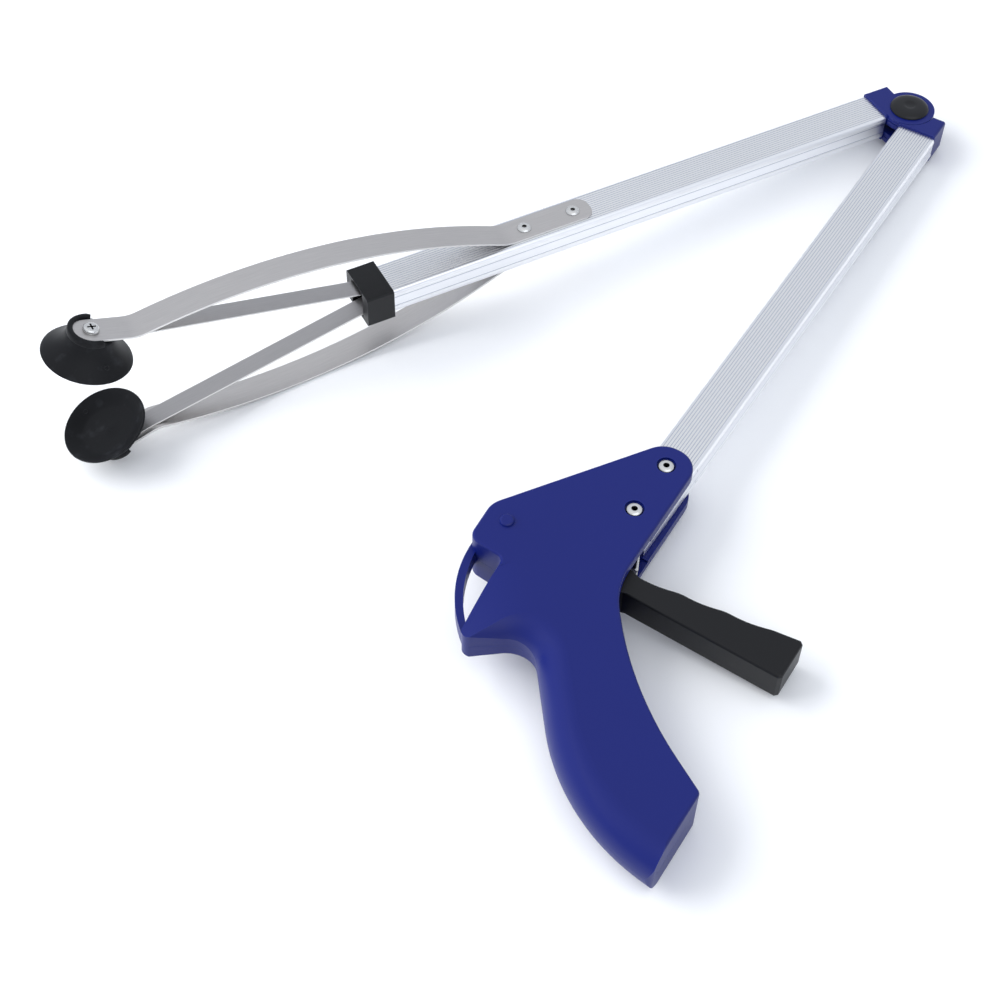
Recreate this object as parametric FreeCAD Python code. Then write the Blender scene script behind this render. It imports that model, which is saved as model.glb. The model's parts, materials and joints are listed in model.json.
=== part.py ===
import FreeCAD, Part
import math
import os

"""Folding reacher grabber: two aluminium tubes on a folding hinge, a pistol handle with a trigger
at one end and a pair of sprung steel jaws with rubber cups at the other.

Working frame (millimetres): the origin is on the fold axis, +Z runs along that axis, and z = 0 is
the plane that the two tubes lie in. Each arm has coordinates (s, o, z): s runs along the arm away
from the fold axis, o runs sideways from the tube's centreline, away from the other arm.
The last step lays the finished tool down on a table, on its lower cup, grip and hinge.
"""

V = FreeCAD.Vector

# ---- driving dimensions ------------------------------------------------------------------------
FOLD_ANGLE = 30.4            # angle between the two arms at rest, degrees
TUBE_W = 18.0                # wide side of the tube, across the arm
TUBE_H = 12.2                # narrow side of the tube, along the fold axis
TUBE_WALL = 1.1
TUBE_CORNER = 1.5            # outside corner radius
TUBE_CLEAR = 0.8             # the tubes end this far outside the hinge ears
REAR_TUBE_LEN = 272.5
FRONT_TUBE_LEN = 258.5
ARM_GAP = 0.6                # space between the tubes when they lie side by side

KNUCKLE_OVER = 1.2           # how far the hinge knuckles stand over the tube, each side
KNUCKLE_CORNER = 1.2
KNUCKLE_WALL = 2.4
EYE_OVER = 2.7               # how far the hinge ears reach beyond half the tube's width
EYE_GAP = 0.35               # room round an ear and between ears
CABLE_ROOM = 4.6             # free height for the cable between the inner ears
SPIGOT_LEN = 16.0
SPIGOT_FIT = 0.1             # each side, spigot in tube
SPIGOT_CORNER = 0.5
PIVOT_R = 4.0
PIVOT_FIT = 0.06             # radial running clearance
PIVOT_CAP_EDGE = 2.9         # ear left showing round the pivot cap
PIVOT_CAP_H = 1.9
PIVOT_DISH = 0.4             # depth of the shallow dish on the cap

END_CAP_LEN = 12.5
END_CAP_LIP = 6.0            # how far the end cap covers the tube
END_CAP_WALL = 1.6
END_CAP_FRAME = 1.1          # wall left above and below the mouth
END_CAP_CORNER = 1.0
SOCKET_FIT = 0.08

CHEEK_OVER = 5.0             # how far the handle's cheeks stand over the tube, each side
SHELL_WALL = 2.5
SHELL_GAP = 0.1              # between the two shells at the parting plane
PALM_LAND = 0.5              # flat left between the rounding of the grip's back and the parting plane
EDGE_R = 1.0                 # rounding of the cheeks' edges
RIVET_BACK = (32.0, 7.0)     # handle rivets, back from the rear tube's end
RIVET_R = 2.0
RIVET_HEAD_R = 3.35
RIVET_HEAD_H = 1.1
RIVET_HOLE_R = 1.1           # hole left by the mandrel
RIVET_HOLE_DEPTH = 2.0
RIVET_SINK_R = 3.85
RIVET_SINK = 1.0
GRIP_END_O = 77.5            # the grip ends this far out from the tube's centreline
SPUR_ROOT = (52.0, -8.0)      # where the spur starts to thin, from the tube's end and centreline
SPUR_TIP = (75.6, -26.7)
SPUR_DROP = 6.6               # how much lower each cheek is at the spur's tip
SPUR_HALF = 22.0              # half the width that is thinned
LOOP_HALF = 3.4              # half the thickness of the hanging loop
SLOT_S = (1.0, 49.5)         # opening for the trigger, from the rear tube's end
SLOT_O = (5.0, 45.0)
SLOT_PLAY = 0.8              # each side of the trigger

TRIGGER_S = 24.0             # trigger pin, from the rear tube's end
TRIGGER_O = -37.2
TRIGGER_T = 13.0
TRIGGER_PIN_R = 2.5
TRIGGER_PIN_FIT = 0.06
TRIGGER_HUB_R = 6.3
TRIGGER_BORE_FIT = 0.3       # side play between the hub and the handle bosses
PIN_BOSS_R = 5.0
PIN_BOSS_MARK_R = 2.9        # round mark of the boss on the cheek
PIN_BOSS_MARK_H = 1.1
TRIGGER_FRONT = 16.4         # front edge at the first finger hump, from the tube's end
TRIGGER_BACK = 26.0          # back edge of the finger bar
TRIGGER_FLARE = 2.5          # the back edge is this much further back at the free end
TRIGGER_LEAN = 0.1           # the front edge comes forward this much per millimetre outwards
TRIGGER_NECK_O = 4.0         # the finger bar starts to widen here
TRIGGER_EDGE_R = 1.1
FINGER_START_O = 14.0
FINGER_PITCH = 17.7          # finger scallops along the trigger
FINGER_DEPTH = 0.9
FINGERS = 3
CREST_R = 16.0               # rounding of the crests between the finger hollows
TRIGGER_END_O = 79.6
TRIGGER_END_CUT = 1.2        # chamfer of the trigger's free end

SPRING_WIRE = 1.2
SPRING_R = 4.4
SPRING_TURNS = 2.5
SPRING_FLOOR = 1.6           # the spring's pocket in the trigger starts at this height
SPRING_ROOM = 6.0            # radial room for the spring beyond the hub

WIRE_R = 1.0
FERRULE_R = 2.0
FERRULE_LEN = 9.0
WIRE_FRONT_S = 30.0          # front end of the rear wire, rear end of the front wire
WIRE_SLACK = 0.9             # from the wire's side to the tube's bore at the tube's end
EYELET_R = 3.4
EYELET_T = 2.0
EYELET_NECK = 4.0            # length of the crimped neck
EYELET_NECK_W = 2.8
HOOK_S = 18.5                # the wire hooks into the trigger here, from the tube's end
HOOK_O = 11.0
HOOK_PIN_R = 1.0
HOOK_PLAY = 0.9
HOOK_SLOT_PLAY = 0.5         # each side of the eyelet

SLIDER_LEN = 14.0
SLIDER_AHEAD = 4.0           # the slider reaches this far beyond its pin
SLIDER_PIN_R = 1.2
SLIDER_PLAY = 0.35           # between the slider and each pull strip
SLIDER_PIN_END = 0.5         # from the pin's end to the tube's bore

STRIP_W = 13.0               # outer jaw strip
STRIP_T = 0.9
STRIP_BACK = 105.6           # the strip starts this far back from the front tube's end
STRIP_RIVET_BACK = (97.3, 73.3)
STRIP_RIVET_HEAD_R = 3.2
STRIP_RIVET_R = 1.6
BEND_BACK = 67.0             # the strip leaves the tube this far back from the tube's end
BEND_R = 20.0
RISE_ANGLE = 24.0            # slope just after the bend, degrees
RISE_R = 270.0
CROWN_ANGLE = 5.7            # slope where the crown's curve starts
CROWN_R = 280.0
FALL_ANGLE = -10.0           # slope at the crown's front end
FLARE_R = 6.0
FLARE_ANGLE = 18.1           # slope of the tab that carries the cup
TAB_LEN = 22.8
TAB_TIP_R = 5.2
FLEX_ANGLE = 11.1            # slope at the point where the strip bends most when it closes
FLEX_GAP = 0.35              # half of the gap left at each flexing point

LINK_W = 9.0                 # inner pull strip
LINK_T = 0.7
LINK_CLEAR = 0.12            # below the outer strip
LINK_BACK = 11.0             # its slotted end, back from the front tube's end
LINK_REAR_Z = 2.0
LINK_TAIL = 4.0              # strip behind the slider pin
LINK_SLOT = 2.7              # half the slot's length
LINK_SLOT_PLAY = 0.4
LINK_TAB_START = 1.5
MOUTH_PLAY = 1.0             # each side of a pull strip in the end cap's mouth

CUP_R = 18.1
CUP_LIP = 0.9
CUP_TOP_R = 9.3
CUP_DEPTH = 4.0
CUP_FLOOR_R = 11.5
CUP_AXIS = 16.0              # from the start of the tab to the cup's axis
CUP_H = 11.25
COLLAR_T = 1.9
COLLAR_RISE = 1.0            # the collar stands this far over the tab
COLLAR_OPEN = 2.5            # the collar is open behind this line, towards the strip
SCREW_R = 1.7
SCREW_HEAD_R = 3.3
SCREW_HEAD_H = 1.9
SCREW_SHANK = 5.5
SCREW_CROSS = (3.6, 0.8, 1.0)   # length, width and depth of the cross recess

# ---- sizes that follow -------------------------------------------------------------------------
OFFSET = TUBE_W / 2 + ARM_GAP / 2          # tube centreline from the fold axis
EYE_R = TUBE_W / 2 + EYE_OVER
TUBE_START = EYE_R + TUBE_CLEAR            # tube ends this far from the fold axis
HALF_T = TUBE_H / 2
BORE_H = TUBE_H - 2 * TUBE_WALL
BORE_W = TUBE_W - 2 * TUBE_WALL
REAR_TUBE_END = TUBE_START + REAR_TUBE_LEN
FRONT_TUBE_END = TUBE_START + FRONT_TUBE_LEN
CAP_START = FRONT_TUBE_END - END_CAP_LIP
CAP_END = CAP_START + END_CAP_LEN
KNUCKLE_H = TUBE_H + 2 * KNUCKLE_OVER
PIVOT_CAP_R = EYE_R - PIVOT_CAP_EDGE
HALF_CHEEK = TUBE_H / 2 + CHEEK_OVER
CAVITY_H = HALF_CHEEK - SHELL_WALL
PALM_R = HALF_CHEEK - PALM_LAND
INNER_EAR = (CABLE_ROOM / 2, CABLE_ROOM / 2 + (KNUCKLE_H / 2 - CABLE_ROOM / 2 - EYE_GAP) / 2)
OUTER_EAR = (INNER_EAR[1] + EYE_GAP, KNUCKLE_H / 2)
RIVET_S = tuple(REAR_TUBE_END - back for back in RIVET_BACK)
STRIP_START = FRONT_TUBE_END - STRIP_BACK
STRIP_RIVET_S = tuple(FRONT_TUBE_END - back for back in STRIP_RIVET_BACK)
BEND_S = FRONT_TUBE_END - BEND_BACK
LINK_REAR_S = FRONT_TUBE_END - LINK_BACK
SLIDER_S = LINK_REAR_S + SLIDER_AHEAD
SLIDER_H = 2 * (LINK_REAR_Z - LINK_T / 2 - SLIDER_PLAY)
EYELET_NECK_S = HOOK_S - EYELET_R - EYELET_NECK
HALF_W = TUBE_W / 2
RESTS_ON = (("pivot_cap_lower",), ("handle_lower_shell",), ("lower_cup", "lower_strip_tip"))
LEVELLING_STEPS = 5
RESTING_MESH = 0.05          # chord error of the meshes the tool is levelled on
TINY = 0.01                  # overlap that makes two fused solids one

# corners of the handle's plan outline: s from the rear tube's end, o, and corner radius
HANDLE_CORNERS = [
    (-41.6, HALF_W + 1.3, 10.0),
    (27.6, HALF_W + 2.8, 35.0),
    (63.3, HALF_W + 29.3, 150.0),
    (86.2, GRIP_END_O, 2.5),
    (119.1, GRIP_END_O, 2.0),
    (114.9, 39.6, 84.0),
    (59.6, -3.7, 11.0),
    SPUR_TIP + (3.0,),
    (39.2, -29.6, 3.0),
    (37.7, -45.5, 5.0),
    (19.5, -46.9, 10.0),
    (-41.6, 2.9 - HALF_W, 10.6),
]
# the edges that the palm lies on, from below the butt to past the spur
PALM_CORNERS = [
    (125.0, 130.8, 0.0),
    (114.9, 39.6, 84.0),
    (59.6, -3.7, 11.0),
    (116.5, -73.9, 0.0),
    (-135.0, -73.9, 0.0),
    (-135.0, 130.8, 0.0),
]
# the hanging loop between the handle's front corner and the spur
LOOP_START = (31.0, -46.0)
LOOP_OUTLINE = [
    ((54.2, -40.6), (71.6, -26.6)),
    ((67.6, -27.2),),
    ((52.6, -37.8), (33.0, -43.2)),
    ((31.0, -46.0),),
]


# ---- helpers -----------------------------------------------------------------------------------
def rear(s, o, z=0.0):
    """A point of the rear arm."""
    return V(OFFSET + o, -s, z)


def grip(s, o, z=0.0):
    """A point of the handle, with s counted from the rear tube's end."""
    return rear(REAR_TUBE_END + s, o, z)


def front(s, o, z=0.0):
    """A point of the front arm, with the arm folded flat against the rear one."""
    return V(-OFFSET - o, -s, z)


def unfold(shape):
    """Turn a piece of the front arm from flat folded to its rest angle."""
    turned = shape.copy()
    turned.rotate(V(0, 0, 0), V(0, 0, 1), -FOLD_ANGLE)
    return turned


def face_of(start, steps):
    """A face inside a closed path. Each step is (end,) for a line or (through, end) for an arc."""
    edges = []
    here = start
    for step in steps:
        if len(step) == 1:
            edges.append(Part.LineSegment(here, step[0]).toShape())
        else:
            edges.append(Part.Arc(here, step[0], step[1]).toShape())
        here = step[-1]
    return Part.Face(Part.Wire(edges))


def rounded_face(place, corners, inset=0.0):
    """A face whose outline has a tangent arc at each corner (s, o, radius), moved in by the inset."""
    points = [V(s, o, 0) for s, o, r in corners]
    count = len(points)
    area = sum(points[i].x * points[(i + 1) % count].y - points[(i + 1) % count].x * points[i].y
               for i in range(count))
    side = 1 if area > 0 else -1
    runs = []
    for i, (s, o, radius) in enumerate(corners):
        before = (points[i] - points[i - 1]).normalize()
        after = (points[(i + 1) % count] - points[i]).normalize()
        turn = side * (before.x * after.y - before.y * after.x)
        half = before.getAngle(after) / 2
        normal = V(-after.y, after.x, 0) * side
        normal_before = V(-before.y, before.x, 0) * side
        bisector = (normal + normal_before).normalize()
        corner = points[i] + bisector * (inset / math.cos(half))
        radius = max(radius - inset, 0.0) if turn > 0 else (radius + inset if radius else 0.0)
        reach = radius * math.tan(half)
        start, end = corner - before * reach, corner + after * reach
        to_arc = radius * (1 / math.cos(half) - 1)
        mid = corner + bisector * (to_arc if turn > 0 else -to_arc)
        runs.append((start, mid, end, radius))
    at = lambda p: place(p.x, p.y)
    edges = []
    for i, (start, mid, end, radius) in enumerate(runs):
        if radius > 0:
            edges.append(Part.Arc(at(start), at(mid), at(end)).toShape())
        following = runs[(i + 1) % count][0]
        edges.append(Part.LineSegment(at(end), at(following)).toShape())
    return Part.Face(Part.Wire(edges))


def plan(place, start, steps, z0, z1):
    """A slab with a plan outline given in arm coordinates, from z0 to z1."""
    path = [tuple(place(*p) for p in step) for step in steps]
    slab = face_of(place(*start), path)
    slab.translate(V(0, 0, z0))
    return slab.extrude(V(0, 0, z1 - z0))


def block(place, s0, s1, o0, o1, z0, z1):
    """A box in arm coordinates."""
    a = place(s0, o0, z0)
    b = place(s1, o1, z1)
    low = V(min(a.x, b.x), min(a.y, b.y), min(a.z, b.z))
    return Part.makeBox(abs(a.x - b.x), abs(a.y - b.y), abs(a.z - b.z), low)


def post(place, s, o, r, z0, z1):
    """A round post along Z."""
    return Part.makeCylinder(r, z1 - z0, place(s, o, z0))


def rounded_bar(place, s0, s1, width, height, corner):
    """A bar along an arm with rounded long edges."""
    bar = block(place, s0, s1, -width / 2, width / 2, -height / 2, height / 2)
    if corner <= 0:
        return bar
    long_edges = [e for e in bar.Edges if abs(e.Vertexes[0].Y - e.Vertexes[1].Y) > abs(s1 - s0) / 2]
    return bar.makeFillet(corner, long_edges)


def fillet_where(shape, radius, wanted):
    """Round the edges whose middle point passes the test."""
    edges = [e for e in shape.Edges if wanted(e.valueAt((e.FirstParameter + e.LastParameter) / 2))]
    return shape.makeFillet(radius, edges)


def mirrored(shape):
    """The same piece on the other side of z = 0."""
    return shape.mirror(V(0, 0, 0), V(0, 0, 1))


# ---- arms and hinge ----------------------------------------------------------------------------
def tube(place, end, holes):
    """A thin-walled tube of an arm with its rivet holes."""
    bar = rounded_bar(place, TUBE_START, end, TUBE_W, TUBE_H, TUBE_CORNER)
    bore = rounded_bar(place, TUBE_START - 1, end + 1, BORE_W, BORE_H, max(TUBE_CORNER - TUBE_WALL, 0.2))
    bar = bar.cut(bore)
    for s, r in holes:
        bar = bar.cut(post(place, s, 0, r, -TUBE_H, TUBE_H))
    return bar


def knuckle(place, ears, other_ears):
    """A hinge knuckle: a hollow block on the tube's end, a spigot in the tube and two ears."""
    half = KNUCKLE_H / 2
    side = TUBE_W / 2
    body = rounded_bar(place, EYE_GAP / 2, TUBE_START, TUBE_W, KNUCKLE_H, KNUCKLE_CORNER)
    body = body.fuse(rounded_bar(place, TUBE_START, TUBE_START + SPIGOT_LEN, BORE_W - 2 * SPIGOT_FIT,
                                 BORE_H - 2 * SPIGOT_FIT, SPIGOT_CORNER))
    for sign in (1, -1):
        low, high = sorted((sign * ears[0], sign * ears[1]))
        body = body.fuse(Part.makeCylinder(EYE_R, high - low, V(0, 0, low)))
        low, high = sorted((sign * (other_ears[0] - EYE_GAP), sign * (other_ears[1] + EYE_GAP)))
        if other_ears[1] >= half:
            high, low = (half + 1, low) if sign > 0 else (high, -half - 1)
        body = body.cut(Part.makeCylinder(EYE_R + EYE_GAP, high - low, V(0, 0, low)))
    cable = block(place, -EYE_R - 1, TUBE_START, -side - EYE_R * 2, side - KNUCKLE_WALL,
                  -CABLE_ROOM / 2, CABLE_ROOM / 2)
    bore = BORE_W / 2 - KNUCKLE_WALL
    spigot_bore = block(place, TUBE_START - 1, TUBE_START + SPIGOT_LEN + 1, -bore, bore,
                        -CABLE_ROOM / 2, CABLE_ROOM / 2)
    body = body.cut(cable).cut(spigot_bore)
    return body.cut(Part.makeCylinder(PIVOT_R + PIVOT_FIT, KNUCKLE_H + 2, V(0, 0, -half - 1)))


def pivot_cap():
    """The upper pivot: a domed cap with a stub shaft through both ears of its side."""
    top = KNUCKLE_H / 2 + EYE_GAP / 2
    cap = Part.makeCylinder(PIVOT_CAP_R, PIVOT_CAP_H, V(0, 0, top))
    cap = fillet_where(cap, PIVOT_CAP_H * 0.6, lambda p: p.z > top + PIVOT_CAP_H - 0.01)
    dish = Part.makeCylinder(PIVOT_CAP_R * 0.55, PIVOT_DISH + 1, V(0, 0, top + PIVOT_CAP_H - PIVOT_DISH))
    stub = Part.makeCylinder(PIVOT_R, top - INNER_EAR[0] + TINY, V(0, 0, INNER_EAR[0]))
    return cap.cut(dish).fuse(stub)


def end_cap():
    """The cap on the front tube, with a mouth for the two pull strips."""
    wide = TUBE_W + 2 * END_CAP_WALL
    high = TUBE_H + 2 * END_CAP_WALL
    cap = rounded_bar(front, CAP_START, CAP_END, wide, high, END_CAP_CORNER)
    socket = rounded_bar(front, CAP_START - 1, FRONT_TUBE_END + SOCKET_FIT, TUBE_W + 2 * SOCKET_FIT,
                         TUBE_H + 2 * SOCKET_FIT, TUBE_CORNER)
    side = LINK_W / 2 + MOUTH_PLAY
    top = high / 2 - END_CAP_FRAME
    mouth = block(front, FRONT_TUBE_END, CAP_END + 1, -side, side, -top, top)
    return cap.cut(socket).cut(mouth)


# ---- handle ------------------------------------------------------------------------------------
def palm_slab(inset, height, radius):
    """A slab whose edges are rounded along the grip's back, moved in by the inset."""
    slab = rounded_face(grip, PALM_CORNERS, inset).extrude(V(0, 0, height))
    corner_s = REAR_TUBE_END + PALM_CORNERS[2][0]
    outer_o, inner_o = PALM_CORNERS[0][1] - inset, PALM_CORNERS[3][1] + inset
    on_back = lambda p: (abs(p.z - height) < TINY and -p.y > corner_s - inset
                         and inner_o + TINY < p.x - OFFSET < outer_o - TINY)
    return fillet_where(slab, radius, on_back)


def over_spur(top):
    """What lies over the spur's sloping cheek, which curves down from the given height to the tip."""
    root = grip(*SPUR_ROOT, top)
    way = grip(*SPUR_TIP, top) - root
    down = V(0, 0, -SPUR_DROP)
    up = V(0, 0, SPUR_DROP)
    middle, tip, beyond = root + way * 0.5 + down * 0.25, root + way + down, root + way * 1.5 + down * 2.25
    curve = Part.BSplineCurve()
    curve.interpolate([root, middle, tip, beyond])
    outline = Part.Wire([curve.toShape(), Part.makeLine(beyond, beyond + down * -2.25 + up),
                         Part.makeLine(beyond + down * -2.25 + up, root + up), Part.makeLine(root + up, root)])
    across = way.cross(V(0, 0, 1)).normalize() * SPUR_HALF
    face = Part.Face(outline)
    face.translate(across * -1)
    return face.extrude(across * 2)


def cavity():
    """The hollow of one half of the handle behind the tube's end."""
    hollow = rounded_face(grip, HANDLE_CORNERS, SHELL_WALL).extrude(V(0, 0, CAVITY_H))
    behind_tube = block(grip, SLOT_S[0], PALM_CORNERS[0][0], PALM_CORNERS[3][1], GRIP_END_O, 0, CAVITY_H)
    hollow = hollow.common(behind_tube).common(palm_slab(SHELL_WALL, CAVITY_H, PALM_R - SHELL_WALL))
    return hollow.cut(over_spur(CAVITY_H))


def grip_body():
    """Half of the handle as a solid: crisp cheek edges, and a round back for the palm."""
    body = rounded_face(grip, HANDLE_CORNERS).extrude(V(0, 0, HALF_CHEEK))
    body = fillet_where(body, EDGE_R, lambda p: abs(p.z - HALF_CHEEK) < TINY)
    return body.common(palm_slab(0.0, HALF_CHEEK, PALM_R)).cut(over_spur(HALF_CHEEK))


def shell():
    """The upper handle shell. The lower one is its mirror image."""
    solid = grip_body().cut(cavity())
    tube_room = block(grip, -REAR_TUBE_LEN, SLOT_S[0], -HALF_W - SOCKET_FIT, TUBE_W, -1, HALF_T + SOCKET_FIT)
    slot = block(grip, SLOT_S[0] - 1, SLOT_S[1], SLOT_O[0], SLOT_O[1], -1, TRIGGER_T / 2 + SLOT_PLAY)
    solid = solid.cut(tube_room).cut(slot)
    solid = solid.fuse(plan(grip, LOOP_START, LOOP_OUTLINE, 0, LOOP_HALF))
    hub_top = TRIGGER_T / 2 + TRIGGER_BORE_FIT
    solid = solid.fuse(post(grip, TRIGGER_S, TRIGGER_O, PIN_BOSS_R, hub_top, HALF_CHEEK - 1))
    mark = post(grip, TRIGGER_S, TRIGGER_O, PIN_BOSS_MARK_R, HALF_CHEEK - 1, HALF_CHEEK + PIN_BOSS_MARK_H)
    on_top = lambda p: p.z > HALF_CHEEK + PIN_BOSS_MARK_H - TINY
    solid = solid.fuse(fillet_where(mark, PIN_BOSS_MARK_H * 0.9, on_top))
    solid = solid.cut(post(grip, TRIGGER_S, TRIGGER_O, TRIGGER_PIN_R, -1, CAVITY_H + 1))
    for s in RIVET_S:
        solid = solid.cut(post(rear, s, 0, RIVET_R, -1, HALF_CHEEK + 1))
        solid = solid.cut(post(rear, s, 0, RIVET_SINK_R, HALF_CHEEK - RIVET_SINK, HALF_CHEEK + 1))
    below = block(grip, -REAR_TUBE_LEN, 2 * GRIP_END_O, -2 * GRIP_END_O, 2 * GRIP_END_O, -1, SHELL_GAP / 2)
    return solid.cut(below)


def rivet(place, s, r, head_r, top, bottom):
    """A pop rivet along Z: a domed head with the mandrel hole above, a formed tail below."""
    head = Part.makeCylinder(head_r, RIVET_HEAD_H, place(s, 0, top))
    head = fillet_where(head, RIVET_HEAD_H * 0.7, lambda p: p.z > top + RIVET_HEAD_H - TINY)
    shank = post(place, s, 0, r, bottom - TINY, top + TINY)
    tail = post(place, s, 0, head_r * 0.75, bottom - RIVET_HEAD_H, bottom)
    hole = post(place, s, 0, RIVET_HOLE_R, top - RIVET_HOLE_DEPTH, top + RIVET_HEAD_H + 1)
    return head.fuse([shank, tail]).cut(hole)


def crests():
    """The crests beside the finger hollows on the trigger's front edge."""
    outs = [i * FINGER_PITCH for i in range(FINGERS + 1)]
    return [(TRIGGER_FRONT - TRIGGER_LEAN * out, FINGER_START_O + out) for out in outs]


def trigger_outline():
    """The trigger's plan outline: start point and steps round to the hub's back."""
    hub_front = TRIGGER_S - TRIGGER_HUB_R
    hub_back = TRIGGER_S + TRIGGER_HUB_R
    humps = crests()
    tip = (TRIGGER_FRONT - TRIGGER_LEAN * (TRIGGER_END_O - FINGER_START_O), TRIGGER_END_O - TRIGGER_END_CUT)
    steps = [((TRIGGER_S, TRIGGER_O - TRIGGER_HUB_R), (hub_front, TRIGGER_O))]
    steps += [((TRIGGER_FRONT - 3.4, TRIGGER_NECK_O),), (humps[0],)]
    for a, b in zip(humps, humps[1:]):
        steps.append((((a[0] + b[0]) / 2 + FINGER_DEPTH, (a[1] + b[1]) / 2), b))
    end_back = TRIGGER_BACK + TRIGGER_FLARE
    steps += [(tip,), ((tip[0] + TRIGGER_END_CUT, TRIGGER_END_O),)]
    steps += [((end_back - TRIGGER_END_CUT, TRIGGER_END_O),), ((end_back, TRIGGER_END_O - TRIGGER_END_CUT),)]
    steps += [((TRIGGER_BACK, FINGER_START_O),)]
    steps += [((TRIGGER_BACK + 3.0, TRIGGER_NECK_O),), ((hub_back, TRIGGER_O),)]
    return (hub_back, TRIGGER_O), steps


def trigger():
    """The trigger lever: a hub on the pin, an arm inside the handle and a scalloped finger bar."""
    half = TRIGGER_T / 2
    lever = plan(grip, *trigger_outline(), -half, half)
    places = [grip(s, o) for s, o in crests()[1:]]
    lever = fillet_where(lever, CREST_R, lambda p: min((p - place).Length for place in places) < TINY)
    finger_edges = lambda p: p.x - OFFSET > FINGER_START_O + 1 and abs(abs(p.z) - half) < TINY
    lever = fillet_where(lever, TRIGGER_EDGE_R, finger_edges)
    bore = TRIGGER_PIN_R + TRIGGER_PIN_FIT
    lever = lever.cut(post(grip, TRIGGER_S, TRIGGER_O, bore, -half - 1, half + 1))
    spring_r = TRIGGER_HUB_R + SPRING_ROOM
    lever = lever.cut(post(grip, TRIGGER_S, TRIGGER_O, spring_r, SPRING_FLOOR, half + 1))
    high = EYELET_T / 2 + HOOK_SLOT_PLAY
    slot = block(grip, EYELET_NECK_S, HOOK_S + EYELET_R + 2, HOOK_O - EYELET_R - EYELET_NECK,
                 HOOK_O + EYELET_R + 2, -high, high)
    lever = lever.cut(slot)
    return lever.fuse(post(grip, HOOK_S, HOOK_O, HOOK_PIN_R, -high - TINY, high + TINY))


def trigger_spring():
    """The torsion spring coiled round the trigger pin."""
    pitch = SPRING_WIRE * 1.15
    low = SPRING_FLOOR + SPRING_WIRE / 2 + EYE_GAP
    helix = Part.makeHelix(pitch, pitch * SPRING_TURNS, SPRING_R)
    start = helix.Edges[0].valueAt(helix.Edges[0].FirstParameter)
    ring = Part.Wire(Part.makeCircle(SPRING_WIRE / 2, start, V(0, 1, 0)))
    coil = Part.Wire(helix.Edges).makePipeShell([ring], True, True)
    coil.translate(grip(TRIGGER_S, TRIGGER_O, low))
    return coil


# ---- pull wire ---------------------------------------------------------------------------------
def round_bar(points, r):
    """A round bar through straight runs, with a ball at each bend."""
    solid = None
    for a, b in zip(points, points[1:]):
        run = Part.makeCylinder(r, (b - a).Length, a, b - a)
        solid = run if solid is None else solid.fuse(run)
    for p in points[1:-1]:
        solid = solid.fuse(Part.makeSphere(r, p))
    return solid


def eyelet():
    """The crimped eyelet that holds the rear wire on the trigger's hook pin."""
    ring = post(grip, HOOK_S, HOOK_O, EYELET_R, -EYELET_T / 2, EYELET_T / 2)
    side = EYELET_NECK_W / 2
    neck = block(grip, EYELET_NECK_S, HOOK_S, HOOK_O - side, HOOK_O + side, -EYELET_T / 2, EYELET_T / 2)
    hole = post(grip, HOOK_S, HOOK_O, HOOK_PIN_R + HOOK_PLAY, -EYELET_T, EYELET_T)
    return ring.fuse(neck).cut(hole)


def rear_wire():
    """The stiff wire in the rear tube, bent outwards at the tube's end towards the trigger."""
    in_tube = BORE_W / 2 - WIRE_R - WIRE_SLACK
    path = [rear(WIRE_FRONT_S, 0), rear(WIRE_FRONT_S + FERRULE_LEN, 0), grip(-WIRE_R, in_tube),
            grip(EYELET_NECK_S - WIRE_R, HOOK_O), grip(EYELET_NECK_S, HOOK_O)]
    return round_bar(path, WIRE_R)


def ferrule(place):
    """The crimped tube that joins the stiff wire to the flexible cable."""
    start = place(WIRE_FRONT_S + FERRULE_LEN / 2, 0)
    sleeve = Part.makeCylinder(FERRULE_R, FERRULE_LEN, start, V(0, 1, 0))
    return sleeve.cut(Part.makeCylinder(WIRE_R, FERRULE_LEN, start, V(0, 1, 0)))


def fold_cable():
    """The flexible cable through the hinge: straight in each arm, one round arc between them."""
    half_fold = math.radians(FOLD_ANGLE) / 2
    centre_dist = TUBE_START / math.cos(half_fold)
    arc_r = OFFSET + TUBE_START * math.tan(half_fold)
    turn = -math.radians(FOLD_ANGLE)
    swing = lambda p: V(p.x * math.cos(turn) - p.y * math.sin(turn), p.x * math.sin(turn) + p.y * math.cos(turn), 0)
    inward = V(-math.sin(half_fold), -math.cos(half_fold), 0)
    crown = inward * (centre_dist - arc_r)
    a, b = rear(WIRE_FRONT_S, 0), rear(TUBE_START, 0)
    c, d = swing(front(TUBE_START, 0)), swing(front(WIRE_FRONT_S, 0))
    path = Part.Wire([Part.LineSegment(a, b).toShape(), Part.Arc(b, crown, c).toShape(),
                      Part.LineSegment(c, d).toShape()])
    ring = Part.Wire(Part.makeCircle(WIRE_R, a, V(0, 1, 0)))
    return path.makePipeShell([ring], True, False)


def front_wire():
    """The stiff wire in the front tube, from the cable to the slider."""
    return round_bar([front(WIRE_FRONT_S, 0), front(SLIDER_S - SLIDER_LEN, 0)], WIRE_R)


def slider():
    """The small block that the pull strips are pinned to."""
    body = block(front, SLIDER_S - SLIDER_LEN, SLIDER_S, -LINK_W / 2, LINK_W / 2, -SLIDER_H / 2, SLIDER_H / 2)
    return body.cut(post(front, LINK_REAR_S, 0, SLIDER_PIN_R, -TUBE_H, TUBE_H))


def slider_pin():
    """The pin through the slider and both pull strips."""
    half = BORE_H / 2 - SLIDER_PIN_END
    return post(front, LINK_REAR_S, 0, SLIDER_PIN_R, -half, half)


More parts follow.
